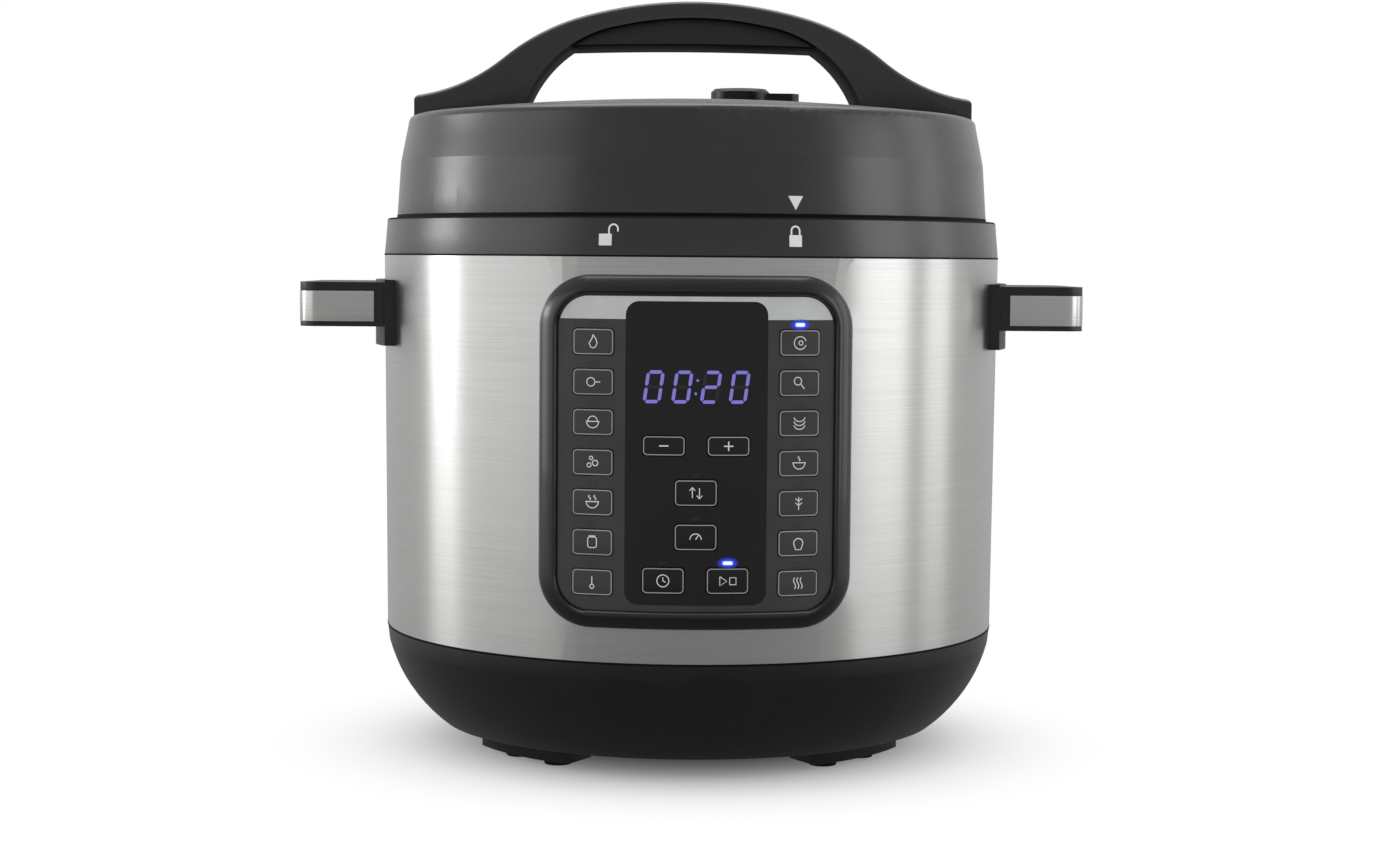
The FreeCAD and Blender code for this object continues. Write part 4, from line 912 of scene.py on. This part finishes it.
def floor_material():
    """White that keeps the shadow near the object; in reflections it is dim round a spot in front."""
    material, tree, shader = new_material("floor")
    tree.nodes.remove(shader)
    matt = add(tree, "ShaderNodeBsdfDiffuse")
    matt.inputs["Color"].default_value = (FLOOR_TONE, FLOOR_TONE, FLOOR_TONE, 1)
    white = add(tree, "ShaderNodeEmission", Strength=1.0)
    dim = add(tree, "ShaderNodeEmission")
    place = add(tree, "ShaderNodeNewGeometry")
    away = add(tree, "ShaderNodeVectorMath", operation="LENGTH")
    aside = add(tree, "ShaderNodeVectorMath", operation="DISTANCE")
    aside.inputs[1].default_value = FLOOR_DIM_SPOT
    for measure in (away, aside):
        tree.links.new(place.outputs["Position"], measure.inputs[0])
    fade = spread(tree, away.outputs["Value"], FLOOR_LEAST, 1, *FLOOR_FADE, kind="SMOOTHSTEP")
    level = spread(tree, aside.outputs["Value"], *FLOOR_DIM_LEVELS, *FLOOR_DIM_REACH, kind="SMOOTHSTEP")
    tree.links.new(level, dim.inputs["Strength"])
    path = add(tree, "ShaderNodeLightPath")
    seen, mirrored = add(tree, "ShaderNodeMixShader"), add(tree, "ShaderNodeMixShader")
    tree.links.new(fade, seen.inputs["Fac"])
    tree.links.new(matt.outputs["BSDF"], seen.inputs[1])
    tree.links.new(white.outputs["Emission"], seen.inputs[2])
    tree.links.new(path.outputs["Is Glossy Ray"], mirrored.inputs["Fac"])
    tree.links.new(seen.outputs["Shader"], mirrored.inputs[1])
    tree.links.new(dim.outputs["Emission"], mirrored.inputs[2])
    tree.links.new(mirrored.outputs["Shader"], tree.nodes["Material Output"].inputs["Surface"])
    return material


def make_floor():
    """A plain white floor under the object."""
    mesh = bpy.data.meshes.new("floor")
    corners = [(x * FLOOR_REACH, y * FLOOR_REACH, 0) for x, y in ((-1, -1), (1, -1), (1, 1), (-1, 1))]
    mesh.from_pydata(corners, [], [(0, 1, 2, 3)])
    floor = link("floor", mesh)
    mesh.materials.append(floor_material())


def make_world():
    """White behind the object; in reflections a dim front that grows lighter towards the back."""
    world = bpy.data.worlds.new("studio")
    bpy.context.scene.world = world
    world.use_nodes = True
    tree = world.node_tree
    back = tree.nodes["Background"]
    back.inputs["Color"].default_value = (1, 1, 1, 1)
    place = add(tree, "ShaderNodeTexCoord")
    split = add(tree, "ShaderNodeSeparateXYZ")
    tree.links.new(place.outputs["Generated"], split.inputs["Vector"])
    depth = spread(tree, split.outputs["Y"], MIRROR_FRONT, MIRROR_BACK, *MIRROR_DEPTH, kind="SMOOTHSTEP")
    path = add(tree, "ShaderNodeLightPath")
    glossy, seen = add(tree, "ShaderNodeMix"), add(tree, "ShaderNodeMix")
    glossy.inputs["A"].default_value = WORLD_FILL
    seen.inputs["B"].default_value = 1.0
    tree.links.new(path.outputs["Is Glossy Ray"], glossy.inputs["Factor"])
    tree.links.new(depth, glossy.inputs["B"])
    tree.links.new(path.outputs["Is Camera Ray"], seen.inputs["Factor"])
    tree.links.new(glossy.outputs["Result"], seen.inputs["A"])
    tree.links.new(seen.outputs["Result"], back.inputs["Strength"])


def make_softbox(name, bearing, distance, middle, width, height, power):
    """A soft box round the object; the bearing is in degrees from the front towards the right."""
    lamp = bpy.data.lights.new(name, "AREA")
    lamp.shape = "RECTANGLE"
    lamp.size = width
    lamp.size_y = height
    lamp.energy = power
    holder = link(name, lamp)
    angle = math.radians(bearing)
    place = Vector((distance * math.sin(angle), -distance * math.cos(angle), middle))
    holder.location = place
    holder.rotation_euler = (Vector((0, 0, LIGHT_AIM)) - place).to_track_quat("-Z", "Y").to_euler()


def make_studio():
    """The floor, the world and the soft boxes."""
    make_floor()
    make_world()
    for name, values in SOFTBOXES.items():
        make_softbox(name, *values)


# Camera fitted to the photograph, in metres, degrees and pixels of its frame.
CAMERA_DISTANCE = 1.258
CAMERA_HEIGHT = 0.237
CAMERA_TURN = 1.05
CAMERA_PITCH = 3.75
CAMERA_ROLL = 0.437
FOCAL_PIXELS = 2547.0
PHOTO_WIDTH = 1380
SENSOR_WIDTH = 36.0


def make_camera():
    """The camera at the photograph's place, turned, pitched and rolled as it was."""
    optics = bpy.data.cameras.new("camera")
    optics.sensor_width = SENSOR_WIDTH
    optics.lens = SENSOR_WIDTH * FOCAL_PIXELS / PHOTO_WIDTH
    camera = link("camera", optics)
    turn, pitch, roll = (math.radians(angle) for angle in (CAMERA_TURN, CAMERA_PITCH, CAMERA_ROLL))
    place = Vector((-CAMERA_DISTANCE * math.sin(turn), -CAMERA_DISTANCE * math.cos(turn), CAMERA_HEIGHT))
    ahead = Vector((math.sin(turn) * math.cos(pitch), math.cos(turn) * math.cos(pitch), -math.sin(pitch)))
    right = ahead.cross(Vector((0, 0, 1))).normalized()
    up = right.cross(ahead)
    right, up = right * math.cos(roll) + up * math.sin(roll), up * math.cos(roll) - right * math.sin(roll)
    camera.matrix_world = Matrix((
        (right.x, up.x, -ahead.x, place.x),
        (right.y, up.y, -ahead.y, place.y),
        (right.z, up.z, -ahead.z, place.z),
        (0, 0, 0, 1),
    ))
    bpy.context.scene.camera = camera


dress_nodes()
dress_spring()
make_bezel()
print_keys()
print_digits()
print_header()
print_lamps()
print_marks()
make_gap_shades()
make_studio()
make_camera()
bpy.context.scene.view_settings.view_transform = "Standard"
